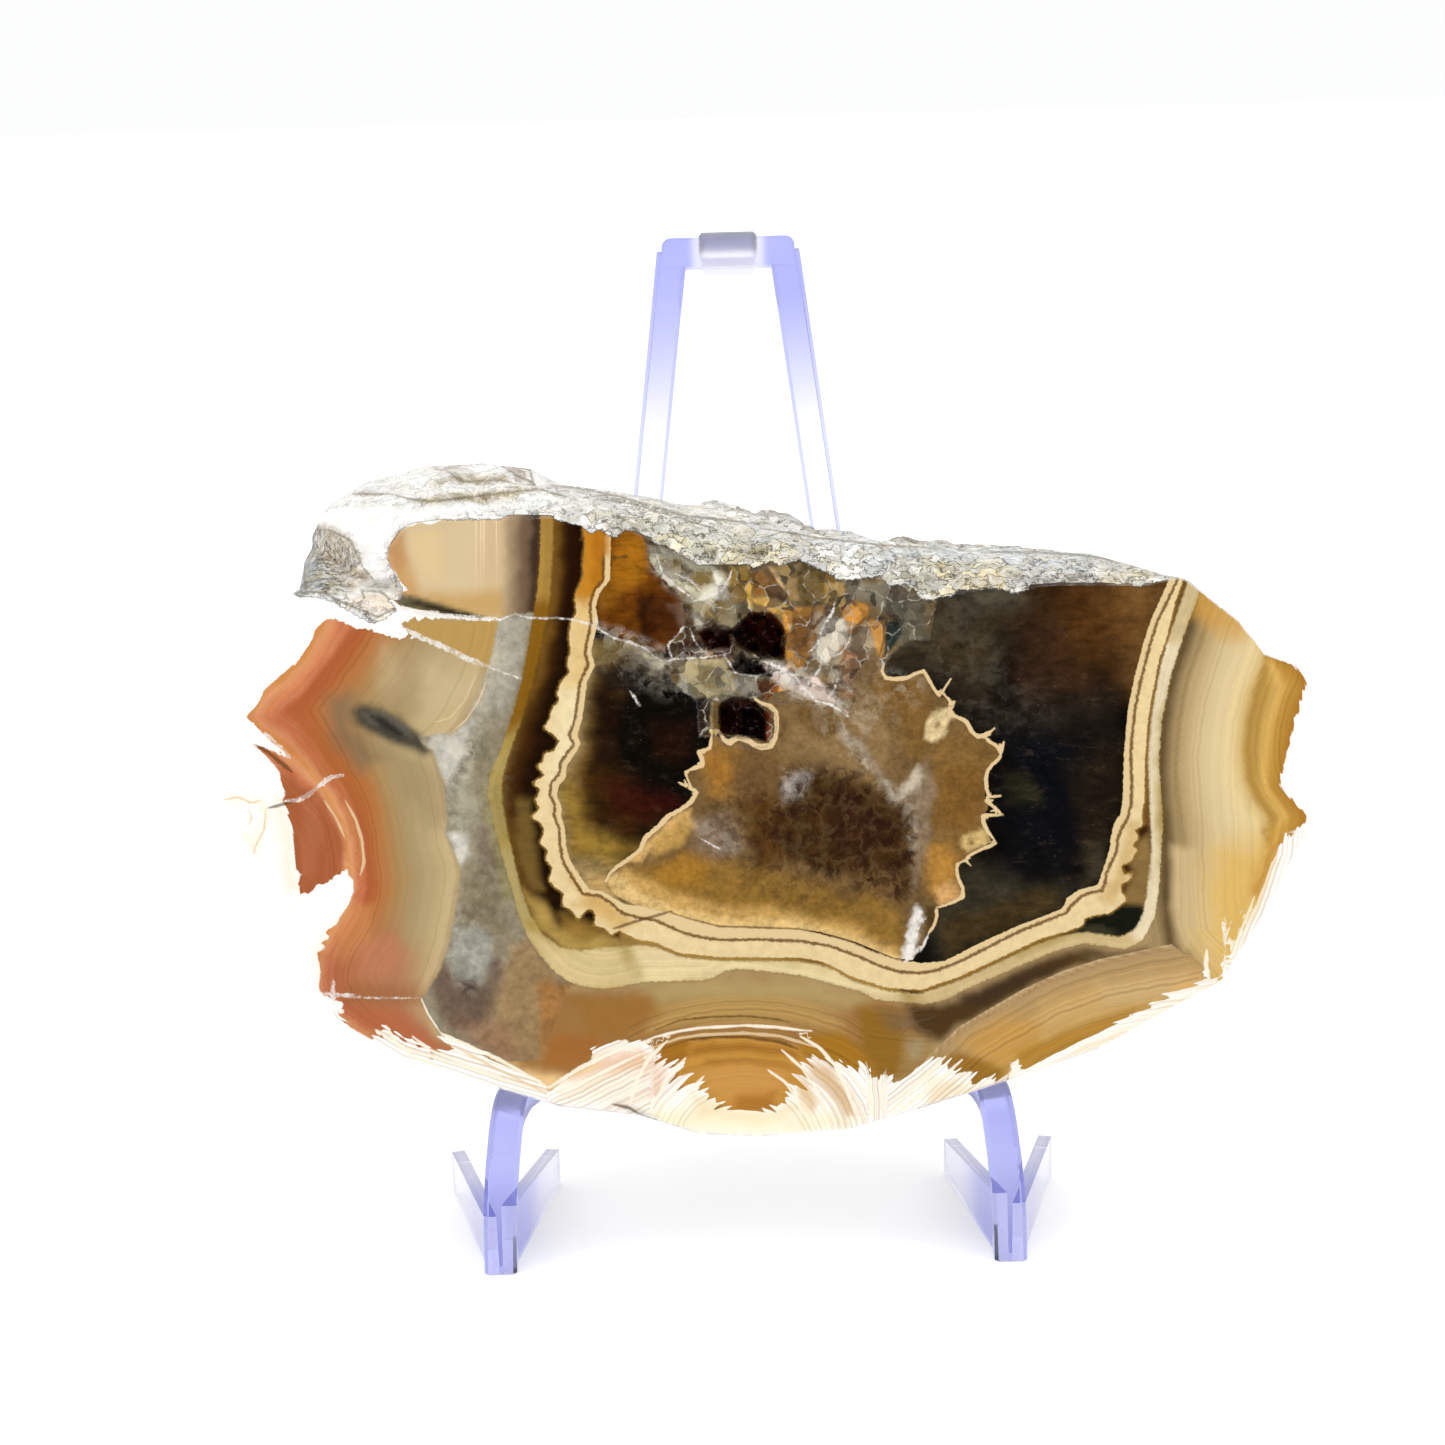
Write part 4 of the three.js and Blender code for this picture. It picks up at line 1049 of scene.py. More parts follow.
def lump(at):
    """Height of the small lumps and hollows of the rind at a place, mm."""
    return (
        0.8 * noise.noise(at * 0.15)
        + 0.55 * (0.35 - abs(noise.noise(at * 0.3)) * 1.6)
        + 0.3 * noise.noise(at * 0.75)
        + 0.12 * noise.noise(at * 1.6)
        - 1.1 * max(0.0, noise.noise(at * 0.55 + Vector((9, 2, 4))) - 0.2)
    )


def dome(edge, ring, count, settings):
    """Points and triangles of the dome, row by row, with half as many points where a row gets short."""
    start, ways, radii = dome_radii(edge)
    grown, polys = [], []
    last, step = list(ring), 1
    pole = radii[-1].mean()
    for j in range(1, DOME_ROWS):
        lift = start.mean() + (-math.pi / 2 - start.mean()) * j / DOME_ROWS
        length = radii[j].mean() * math.cos(lift) * 2 * math.pi
        finer = AROUND // step
        halve = finer % 2 == 0 and length / (finer / 2) < WIDEST_EDGE
        keep = np.arange(0, AROUND, step * (2 if halve else 1))
        spots = ways[j][keep] * radii[j][keep][:, None]
        height = smooth(j / LUMP_ROWS) * settings.lumps
        out = [p + w * lump(Vector(p)) * height for p, w in zip(spots, ways[j][keep])]
        grown.append(np.array(out) + np.array(RAY_START))
        now = list(range(count, count + len(keep)))
        count += len(keep)
        for i in range(len(now)):
            a, b = now[i], now[(i + 1) % len(now)]
            if halve:
                c, d, e = last[2 * i], last[2 * i + 1], last[(2 * i + 2) % len(last)]
                polys += [(c, a, d), (d, a, b), (d, b, e)]
            else:
                c, d = last[i], last[(i + 1) % len(last)]
                polys += [(c, a, d), (d, a, b)]
        last = now
        step *= 2 if halve else 1
    grown.append(np.array([[0, 0, RAY_START.z - pole]]))
    polys += [(last[i], count, last[(i + 1) % len(last)]) for i in range(len(last))]
    return grown, polys


def stone_mesh(settings):
    """Front, dome and rind of the nodule as one closed mesh, with the attributes that its material reads."""
    angles = np.arange(AROUND) * 2 * math.pi / AROUND
    xy, faces, ring = front(angles)
    rim, cut = face_profile(np.arctan2(xy[:, 1], xy[:, 0]))
    rim[ring] = np.hypot(xy[ring, 0], xy[ring, 1])
    shown = np.column_stack([xy, -depths(xy, rim, cut)])
    grown, polys = dome(shown[ring], ring, len(shown), settings)
    points = np.vstack([shown] + grown)
    polys = [tuple(f) for f in faces] + polys
    world = np.array(PLACE)
    placed = (points @ world[:3, :3].T + world[:3, 3]) * MM
    mesh = bpy.data.meshes.new("agate_stone")
    mesh.from_pydata(placed.tolist(), [], polys)
    mesh.update()
    outward = PLACE.to_3x3() @ Vector((0, 0, 1))
    if mesh.polygons[len(faces) // 2].normal.dot(outward) < 0:
        mesh.flip_normals()
    write_marks(mesh, points, len(xy), np.array(ring), cut)
    mesh.shade_smooth()
    mesh.set_sharp_from_angle(angle=STONE_CREASE)
    return mesh


def write_marks(mesh, points, shown, ring, cut):
    """Point attributes: the layers' colours, distances to their edges, and offsets to the thin lines."""
    xy = points[:shown, :2]
    # what lies behind the cut shows a little closer to the middle of the photograph
    seen = EYE[:2] + (xy - EYE[:2]) * EYE[2] / (EYE[2] - points[:shown, 2:])

    def store(name, values, fill=0):
        """Writes numbers or triples for the first points, and the fill for all the others."""
        values = np.asarray(values, np.float32)
        whole = np.full((len(points),) + values.shape[1:], fill, np.float32)
        whole[: len(values)] = values
        kind, field = ("FLOAT_VECTOR", "vector") if values.ndim == 2 else ("FLOAT", "value")
        mesh.attributes.new(name, kind, "POINT").data.foreach_set(field, whole.ravel())

    def store_edge(name, gap):
        store("a_" + name, np.clip(gap, -MARK_REACH, MARK_REACH), -MARK_REACH)

    store("place", points)
    for name in BASES:
        if name != "crust":
            store("c_" + name, paint(xy, name), 0.5)
    for name, area in AREAS.items():
        store_edge(name, inside(xy, path(area)))
    for name in EDGES:
        store_edge(name, inside(xy, path(LINES[name])))
    for name in STROKES:
        store("s_" + name, strokes(seen if name == "crust_lines" else xy, name), -1)
    for name, veils in VEILS.items():
        level = np.zeros(shown)
        for strength, soft, area in entries(veils, 2):
            soft = float(soft) / PX_PER_MM
            veil = smooth(inside(xy, path(area)) / (soft * 2) + 0.5)
            level = np.maximum(level, float(strength) * veil)
        store("v_" + name, level)
    store("fringe", fringe(xy))
    # behind the outline the crust keeps the colour of the nearest place on it, and fades out
    rind = points[shown:]
    turn = np.arctan2(rind[:, 1], rind[:, 0]) / (2 * math.pi)
    nearby = ring[np.round(turn * AROUND).astype(int) % AROUND]
    crust = paint(seen, "crust")
    store("c_crust", np.vstack([crust, crust[nearby]]))
    behind = np.clip((points[nearby, 2] - rind[:, 2]) / CRUST_FADE, 0, 1)
    store("back", np.append(np.zeros(shown), behind))
    # where the pits open; the material paints them near black as painted shade
    open_pits = [inside(xy, outline(area)) for _, area in PITS]
    store("pit", smooth(np.max(open_pits, 0) / 0.5 + 0.2))
    store_edge("face", cut - np.hypot(xy[:, 0], xy[:, 1]))
    bands, strength = growth(xy)
    store("bands", bands)
    store("banding", strength)


def rings(xy, middle, squeeze):
    """Distance from the middle of the round growth at the lower rim, mm."""
    return np.hypot((xy[:, 0] - middle) * squeeze, xy[:, 1] - RINGS_BOTTOM)


def growth(xy):
    """A coordinate that runs across the fine growth lines (mm) and how strongly they show."""
    x, y = xy[:, 0], xy[:, 1]
    guides = ("chevron_edge", "quartz_edge", "ochre_outer", "tan_start", "right_band", "fan_top")
    far = {name: distance(xy, path(LINES[name])) for name in guides}
    depth = inside(xy, path(LINES["ochre_outer"]))
    share = far["chevron_edge"] / (far["chevron_edge"] + far["quartz_edge"] + 1e-9)
    bands = share * CHEVRON_BANDS
    strength = np.interp(share, [0, 0.45, 0.6, 0.82, 0.9, 1], [0.55, 0.5, 0.14, 0.16, 0.75, 0.5])

    def use(mask, value, how):
        nonlocal bands, strength
        bands = np.where(mask, value, bands)
        strength = np.where(mask, how, strength)

    def within_area(name):
        return inside(xy, path(AREAS[name])) > 0

    top_left = (x < -20) & (y > 16.3)
    use(top_left, x * 1.4, np.interp(x, [-33, -27.6, -26.4, -24.6, -24], [0.12, 0.2, 1.5, 1.5, 0.4]))
    use(x > 33, far["tan_start"], 0.42)
    use(within_area("fan"), far["fan_top"], 0.9)
    bottom = (y < -17.5) & (depth < 0)
    round_growth = rings(xy, -2.1, 0.72)
    ring_strength = np.interp(round_growth, [7, 9, 10, 13, 13.8], [0.4, 0.7, 1.3, 1.3, 0.25])
    use(bottom & (x > -13) & (x < 9), round_growth, ring_strength)
    use(bottom & (x >= 9) & (x < 15), far["ochre_outer"], 0.5)
    cusp = np.vstack([path(LINES["right_band"]), path(LINES["rim_right"])[::-1]])
    use((x > 43.2) & (inside(xy, cusp) > 0), far["right_band"], 0.6)
    use(~within_area("stone_colour") & (depth < 0), 0, 0)
    use(within_area("quartz"), far["quartz_edge"], 0.15)
    use(depth > 0, far["ochre_outer"], 0.45)
    use(inside(xy, path(LINES["chamber_edge"])) > 0, 0, 0)
    return bands, strength


def fringe(xy):
    """Bleached streaks of the rim: a coordinate across them, their strength, and how far they cut in (mm)."""
    x, y = xy[:, 0], xy[:, 1]
    start = distance(xy, path(LINES["chevron_edge"]))
    out = np.column_stack([start, np.full(len(xy), 0.1), np.full(len(xy), 0.25)])

    def use(left, right, top, across, strength, cut_in):
        mask = (x >= left) & (x < right) & (y < top)
        out[mask] = np.column_stack([across, strength + 0 * x, cut_in + 0 * x])[mask]

    def off(*ends):
        return distance(xy, np.array(ends, float))

    round_growth = rings(xy, -2.3, 0.85)
    use(-60, -20, -19, distance(xy, closed(outline(OUTLINE))), 1.0, 0.8)
    use(-20, -10.5, -20, off((-22, -27.5), (-8, -20.7)), 0.85, 0.5)
    use(-10.5, 9.1, -18, round_growth, 0.8 * smooth((round_growth - 3.4) / 3), 0.9)
    use(9.1, 10.8, -18, x, 0.9, 0.8)
    use(10.8, 22, -20, off((19, -22.4), (10, -29.9)), 0.85, 0.9)
    use(22, 41.5, -14, distance(xy, path(LINES["fan_top"])), 0.6, 0.45)
    use(41.5, 60, -3, distance(xy, path(LINES["right_band"])), 0.8, 1.0)
    return out


class Value:
    """A socket of a node tree that adds up like a number."""

    def __init__(self, tree, socket):
        self.tree, self.socket = tree, socket

    def math(self, operation, *values, clamp=False):
        settings = {"operation": operation, "use_clamp": clamp}
        return self.tree.add("ShaderNodeMath", settings, dict(enumerate(values)))

    def __add__(self, other):
        return self.math("ADD", self, other)

    def __sub__(self, other):
        return self.math("SUBTRACT", self, other)

    def __rsub__(self, other):
        return self.math("SUBTRACT", other, self)

    def __mul__(self, other):
        return self.math("MULTIPLY", self, other)

    def __abs__(self):
        return self.math("ABSOLUTE", self)

    def root(self):
        return self.math("SQRT", self)

    def most(self, other):
        return self.math("MAXIMUM", self, other)

    def clip(self):
        return self.math("ADD", self, 0, clamp=True)

    def step(self, low, high):
        """0 below low, 1 above high, smooth between."""
        values = {"Value": self, "From Min": low, "From Max": high, "To Min": 0, "To Max": 1}
        return self.tree.add("ShaderNodeMapRange", {"interpolation_type": "SMOOTHSTEP"}, values)

    def ridge(self, middle, steepness):
        """1 where the value is at the middle, falling to 0 on both sides."""
        return (1 - abs(self - middle) * steepness).clip()


class Tree:
    """Adds nodes to a new material: kind, settings, then values or links for its inputs."""

    def __init__(self, name):
        self.material = bpy.data.materials.new(name)
        self.material.use_nodes = True
        self.nodes, self.links = self.material.node_tree.nodes, self.material.node_tree.links
        self.nodes.clear()

    def add(self, kind, settings=None, values=None, output=0):
        node = self.nodes.new(kind)
        for name, value in (settings or {}).items():
            setattr(node, name, value)
        for name, value in (values or {}).items():
            if isinstance(value, Value):
                self.links.new(value.socket, node.inputs[name])
            else:
                node.inputs[name].default_value = value
        if output is None:
            return node
        return Value(self, node.outputs[output])

    def split(self, vector):
        node = self.add("ShaderNodeSeparateXYZ", {}, {0: vector}, None)
        return [Value(self, node.outputs[i]) for i in range(3)]

    def mark(self, name):
        return self.add("ShaderNodeAttribute", {"attribute_name": name}, output="Fac")

    def triple(self, name):
        return self.add("ShaderNodeAttribute", {"attribute_name": name}, output="Vector")

    def coordinate(self, name):
        return self.add("ShaderNodeTexCoord", output=name)

    def noise(self, place, scale, detail=2, rough=0.5, output=0, distortion=0):
        values = {"Vector": place, "Scale": scale, "Detail": detail}
        values |= {"Roughness": rough, "Distortion": distortion}
        return self.add("ShaderNodeTexNoise", {}, values, output)

    def line(self, value, scale, detail=0):
        values = {"W": value, "Scale": scale, "Detail": detail}
        return self.add("ShaderNodeTexNoise", {"noise_dimensions": "1D"}, values)

    def voronoi(self, place, scale, dimensions, feature, output):
        settings = {"feature": feature, "voronoi_dimensions": dimensions}
        return self.add("ShaderNodeTexVoronoi", settings, {"Vector": place, "Scale": scale}, output)

    def cells(self, place, scale, dimensions="2D"):
        """Three random values for each cell."""
        return self.split(self.voronoi(place, scale, dimensions, "F1", "Color"))

    def cell_gap(self, place, scale, dimensions="2D"):
        """Distance to the nearest cell's edge."""
        return self.voronoi(place, scale, dimensions, "DISTANCE_TO_EDGE", "Distance")

    def blend(self, mask, low, high, how):
        settings = {"data_type": "RGBA", "blend_type": how}
        return self.add("ShaderNodeMix", settings, {"Factor": mask, 6: low, 7: high}, 2)

    def mix(self, mask, low, high):
        """The low colour where the mask is 0 and the high one where it is 1, each a socket or a code."""
        low, high = [rgb(tone) if isinstance(tone, str) else tone for tone in (low, high)]
        return self.blend(mask, low, high, "MIX")

    def times(self, tone, factor):
        return self.blend(1.0, tone, factor, "MULTIPLY")

    def grey(self, value):
        return self.add("ShaderNodeCombineXYZ", {}, {0: value, 1: value, 2: value})

    def shade(self, value, low, high):
        """Grey that goes from low to high as value goes from 0.25 to 0.75."""
        return self.grey((value - 0.25) * (2 * (high - low)) + low)

    def vector(self, operation, first, second):
        return self.add("ShaderNodeVectorMath", {"operation": operation}, {0: first, 1: second})

    def shifted(self, place, scale, detail, rough, size):
        """The place moved about by noise."""
        shift = self.noise(place, scale, detail, rough, "Color")
        return self.vector("ADD", place, self.vector("MULTIPLY", shift, (size, size, size)))

    def principled(self, values):
        return self.add("ShaderNodeBsdfPrincipled", {}, values)

    def finish(self, surface, volume=None):
        out = self.add("ShaderNodeOutputMaterial", output=None)
        self.links.new(surface.socket, out.inputs["Surface"])
        if volume:
            self.links.new(volume.socket, out.inputs["Volume"])
        return self.material


def rgb(code):
    return (*colour(code), 1)


class StoneTree(Tree):
    """The patterns that several parts of the stone's material share."""

    def __init__(self, name):
        super().__init__(name)
        self.place = self.triple("place")
        jag = self.noise(self.place, 2.6, 3, 0.65) - 0.5
        fine = self.noise(self.place, 9, 2, 0.6) - 0.5
        self.wave = jag * 0.42 + fine * 0.12
        self.cloud = self.noise(self.place, 0.35, 5, 0.62, distortion=0.4)
        self.grain = self.noise(self.place, 1.1, 4, 0.68)
        self.fleck = self.noise(self.place, 2.2, 3, 0.7)
        self.spark = self.noise(self.place, 3.4, 2, 0.55).step(0.62, 0.72)
        stretched = self.vector("MULTIPLY", self.place, (0.5, 1.5, 1))
        self.fibre = self.noise(stretched, 1.0, 3, 0.62, distortion=0.6)
        # broken facets at two sizes, with their edges
        facet = self.shifted(self.place, 0.9, 1, 0.5, 1.1)
        self.shard = self.cells(facet, 0.44)
        self.splinter = self.cells(facet, 1.35)
        self.crack = 1 - self.cell_gap(facet, 0.44).step(0.0, 0.045)
        self.hair = 1 - self.cell_gap(facet, 1.35).step(0.0, 0.07)
        # fine growth lines
        bands = self.mark("bands") + (self.noise(self.place, 0.5, 2) - 0.5) * 0.5
        wide, middle, narrow = [self.line(bands, scale) for scale in (1.6, 4.2, 9.0)]
        self.lines = wide * 0.4 + middle * 0.4 + narrow * 0.2 - 0.5

    def rough_edge(self, name, jagged):
        """Distance inside a layer's ragged edge, mm."""
        return self.mark("a_" + name) + self.wave * jagged

    def edge(self, name, soft=0.05, jagged=1.0):
        return self.rough_edge(name, jagged).step(-soft, soft)

    def layer(self, name):
        return self.triple("c_" + name)

    def stroke(self, name, soft, jagged=0.25):
        x, y, wide = self.split(self.triple("s_" + name))
        gap = (x * x + y * y).root()
        return (wide + self.wave * jagged - gap).step(-soft, soft)

    def clouded(self, name, pattern, low, high):
        """A layer's colours, darker and lighter with the pattern."""
        return self.times(self.layer(name), self.shade(pattern, low, high))


def outer_layers(t, line_strength):
    """Bleached rim, the banded stone inside it, and the quartz between its layers."""
    coordinate, streak, cut_in = t.split(t.triple("fringe"))
    across = coordinate + (t.noise(t.place, 0.35, 1) - 0.5) * 0.5
    comb = (t.line(across, 1.9, 1) - 0.5) * cut_in * 2.4
    stone = (t.rough_edge("stone_colour", 0.5) + comb).step(-0.06, 0.06)
    stone = stone.most(t.edge("oval", 0.07, 0.5))
    broad = t.line(across + 40, 1.3, 1).step(0.47, 0.62) * streak
    thin = t.line(across, 2.4, 1).ridge(0.5, 15) * streak
    rim = t.mix(broad * 0.25, t.layer("rim"), "f0cf98")
    rim = t.mix(thin * 0.5, rim, "b4844e")
    out = t.mix(stone, rim, t.layer("outer"))
    out = t.mix(t.edge("fan", 0.06, 0.4) * stone, out, t.layer("fan"))
    quartz = t.edge("quartz", 0.14, 1.4) * stone
    out = t.mix(quartz, out, t.clouded("quartz", t.cloud * 0.5 + t.grain * 0.5, 0.42, 1.5))
    lined = t.lines * t.mark("banding") * line_strength + 1
    out = t.times(out, t.grey(lined))
    right, up, _ = t.split(t.place)
    upright = t.line(right, 4.2).step(0.5, 0.58)
    tongue = right.step(-27, -26.3) * (1 - right.step(-24.7, -24.2)) * up.step(18, 26.5)
    return t.mix(upright * tongue * 0.6, out, "f2dcb0"), quartz


def nested_layers(t, out):
    """The ochre, dark and cream layers round the chamber."""
    near_ochre = 1 - abs(t.rough_edge("ochre_outer", 1.3)).step(0.0, 0.35)
    out = t.mix(near_ochre * 0.3, out, "7a5c26")
    ochre = t.times(t.layer("ochre"), t.grey(t.lines * 0.4 + 1))
    ochre = t.times(ochre, t.shade(t.cloud * 0.5 + t.grain * 0.5, 0.86, 1.14))
    out = t.mix(t.edge("ochre_outer", 0.08, 1.3), out, ochre)
    dark = t.clouded("dark", t.cloud * 0.5 + t.fibre * 0.5, 0.7, 1.3)
    out = t.mix(t.edge("ochre_inner", 0.16, 1.1), out, dark)
    near_cream = 1 - abs(t.rough_edge("cream_outer", 0.9)).step(0.0, 0.3)
    out = t.mix(near_cream * 0.45, out, "b88c3c")
    out = t.mix(t.edge("cream_outer", 0.06, 0.9), out, t.clouded("cream", t.grain, 0.88, 1.12))
    inner = t.rough_edge("cream_inner", 1.1)
    lower = 1 - t.split(t.place)[1].step(21.6, 22.8)
    out = t.mix((inner - 0.17).step(-0.06, 0.06) * lower, out, "dcc290")
    return t.mix((1 - abs(inner).step(0.05, 0.24)) * (lower * 0.7 + 0.22), out, "6e4a1e")


def chamber_colour(t):
    """The dark middle, with a brown haze and faint bluish-grey painted glints."""
    pattern = t.cloud * 0.4 + t.fibre * 0.35 + t.grain * 0.25
    out = t.clouded("chamber", pattern, 0.05, 1.85)
    haze = t.fibre.step(0.52, 0.72) * t.cloud.step(0.44, 0.62)
    out = t.mix(haze * 0.22, out, "54422e")
    # painted glints: faint bluish-grey specks
    return t.mix(t.spark * t.cloud.step(0.5, 0.62) * 0.18, out, "6c7480")


def broken_colour(t, tone):
    """Broken crystals, and the open pits between them, painted near black as painted shade over their real
    depth.
    """
    out = t.clouded("broken", tone, 0.4, 1.45)
    out = t.mix(t.shard[2].step(0.7, 0.74) * 0.62, out, "2a180a")
    glints = (t.crack * 0.75 + t.hair * 0.16).clip() * t.grain.step(0.44, 0.58)
    out = t.mix(glints * 0.75, out, "d6cfba")
    # painted shade: the open pits are painted near black and dark red-brown, with a few lighter specks
    depth = t.mark("pit") * (0.95 - t.spark * 0.3)
    return t.mix(depth, out, t.mix(t.shard[1], "060302", "3c1206"))


def island_colour(t):
    """The crystalline island in the chamber, with its dark mottling."""
    drop = t.shifted(t.place, 0.55, 3, 0.6, 3)
    cell = t.cell_gap(drop, 0.6) + (t.grain - 0.5) * 0.5 + (t.fleck - 0.5) * 0.2
    kind = t.cells(drop, 0.6)[1]
    mottle = t.mark("v_mottle")
    pattern = t.cloud * 0.35 + t.grain * 0.45 + t.fleck * 0.2
    out = t.clouded("island", pattern, 0.38, 1.6)
    out = t.mix(mottle * (1 - cell.step(0.0, 0.2)) * 0.14, out, "86704e")
    spots = t.noise(drop, 0.8, 3, 0.65).step(0.45, 0.6)
    blotch = (spots * 0.75 + cell.step(0.04, 0.45) * (kind * 1.4).clip() * 0.45).clip() * mottle
    return t.mix(blotch * 0.85, out, "28100a")


def thin_lines(t, out):
    """Veins, cracks and the outlines of crystals."""
    torn = t.grain.step(0.42, 0.56) * 0.7 + 0.3
    out = t.mix(t.stroke("dark_lines", 0.09, 0.5) * 0.75, out, "5a3c18")
    out = t.mix(t.stroke("tan_lines", 0.07) * 0.8, out, "e2c69a")
    out = t.mix(t.stroke("fringe_lines", 0.08) * 0.9, out, "fbeed8")
    out = t.mix(t.stroke("white_lines", 0.08, 1.1) * torn * 0.9, out, "e8e2d8")
    return t.mix(t.stroke("island_lines", 0.06, 0.45), out, "dcc090")


def crust_colour(t, calm, flat, chips):
    """Unpolished crust: chips of several tints with dark gaps, white flecks that are partly chalk and partly
    painted highlights, and seams; where calm is 0, at the top left, it stays mostly plain and near white as
    painted light, washed out by strong light.
    """
    chip = t.cells(flat, 1.0, "3D")
    seam = t.noise(flat, 0.5, 3, 0.6).ridge(0.5, 16)
    plain = t.layer("crust")
    out = t.mix(calm, plain, t.times(plain, t.shade(chip[0] * 0.4 + t.grain * 0.6, 0.84, 1.42)))
    out = t.mix(chip[1].step(0.66, 0.72) * calm * 0.45, out, "b4bcbf")
    out = t.mix(chip[2].step(0.7, 0.76) * calm * 0.4, out, "e2cf9c")
    # white flecks: partly chalk, partly painted highlights on the crust's crystals
    out = t.mix(t.grain.step(0.48, 0.6) * (calm * 0.45 + 0.3), out, "fffdf8")
    out = t.mix((1 - chips) * (1 - t.grain.step(0.48, 0.62)) * calm * 0.88, out, "54492f")
    out = t.mix(seam * t.grain.step(0.45, 0.6) * calm * 0.45, out, "8a7444")
    return t.mix(t.stroke("crust_lines", 0.09, 0.9) * 0.75, out, "8e8470")


def rind_colour(t, main):
    """Weathered skin of the nodule: pale grey, with tan and rust stains, chalk in hollows and dark pits."""
    broad = t.noise(t.place, 0.085, 3, 0.55, distortion=0.4)
    patch = t.noise(t.place, 0.21, 4, 0.66, distortion=0.7)
    speck = t.noise(t.place, 0.9, 4, 0.72)
    vein = t.noise(t.place, 0.3, 3, 0.6, distortion=1.2).ridge(0.5, 22)
    out = t.mix(broad.step(0.4, 0.62), (*main, 1), "a48c6a")
    out = t.mix(patch.step(0.54, 0.7) * 0.6, out, "80573a")
    out = t.mix((1 - patch.step(0.3, 0.44)) * 0.85, out, "cfc8ba")
    out = t.mix(t.cloud.step(0.52, 0.66) * 0.4, out, "8d8f8c")
    out = t.mix(vein * t.grain.step(0.45, 0.6) * 0.55, out, "ddd6c6")
    out = t.mix(speck.step(0.56, 0.72) * 0.5, out, "d6ccb8")
    return t.mix((1 - speck.step(0.3, 0.46)) * 0.75, out, "4c3e30")


def stone_material(settings):
    t = StoneTree("banded_agate")
    frost = t.mark("v_frost")
    out, quartz = outer_layers(t, settings.line_strength)
    out = nested_layers(t, out)
    chamber = t.edge("chamber_edge", 0.05, 0.7)
    out = t.mix(chamber, out, chamber_colour(t))
    broken = t.edge("broken", 0.1, 1.4) * chamber
    tone = t.shard[0] * 0.4 + t.splinter[1] * 0.4 + t.grain * 0.2
    out = t.mix((broken + t.mark("pit")).clip(), out, broken_colour(t, tone))
    island = t.edge("island", 0.05, 0.5)
    out = t.mix(island, out, island_colour(t))
    # frosted crystal over the chamber, the island and the quartz: whitish crystal, with painted glints of
    # light on its facets
    glint = (t.grain - 0.5) * 2.2 + (t.splinter[0] - 0.5) * 1.1 + (t.shard[1] - 0.5) * 0.5
    glint = (glint + (t.cloud - 0.5) * 1.2 + 0.32).clip()
    icy = glint * 0.75 + t.spark * 0.3 + t.hair * t.grain.step(0.52, 0.62) * 0.25
    out = t.mix((frost * icy).clip() * (island + chamber + quartz).clip() * 0.75, out, "d6cdb8")
    out = thin_lines(t, out)
    level = settings.tone
    out = t.times(out, (level, level, level, 1))
    # the polish ends at the crust
    # calm is 0 where the crust is painted plain and washed out as painted light; its textures and bumps
    # weaken there
    calm = 1 - t.mark("v_calm")
    flat = t.vector("MULTIPLY", t.shifted(t.place, 0.8, 3, 0.6, 2.4), (0.45, 1.2, 1))
    chips = t.cell_gap(flat, 1.0, "3D").step(0.0, 0.09)
    crust = crust_colour(t, calm, flat, chips)
    skin = t.mix(t.mark("back").step(0.4, 1.0), crust, rind_colour(t, settings.rind))
    gloss = t.edge("polished", 0.06, 1.6) * (t.mark("a_face") + 0.55).step(0, 0.1)
    dusty = 1 - gloss
    crystal = (broken * 0.7 + frost * 0.4).clip() * gloss
    height = t.noise(t.place, 0.8, 5, 0.72, distortion=0.5) + t.grain * 0.5 + chips * 0.12
    height = dusty * height * (calm * 0.65 + 0.35) + crystal * (tone * 0.4 - t.crack * 0.1)
    roughness = dusty * 0.62 + crystal * 0.22 + (t.grain - 0.5) * 0.06 + settings.gloss
    bump = {"Strength": 0.9, "Distance": 0.0009, "Height": height}
    look = {
        "Base Color": t.mix(gloss, skin, out),
        "Roughness": roughness,
        "IOR": AGATE_IOR,
        "Specular IOR Level": 0.32,
        "Normal": t.add("ShaderNodeBump", {}, bump),
    }
    return t.finish(t.principled(look))


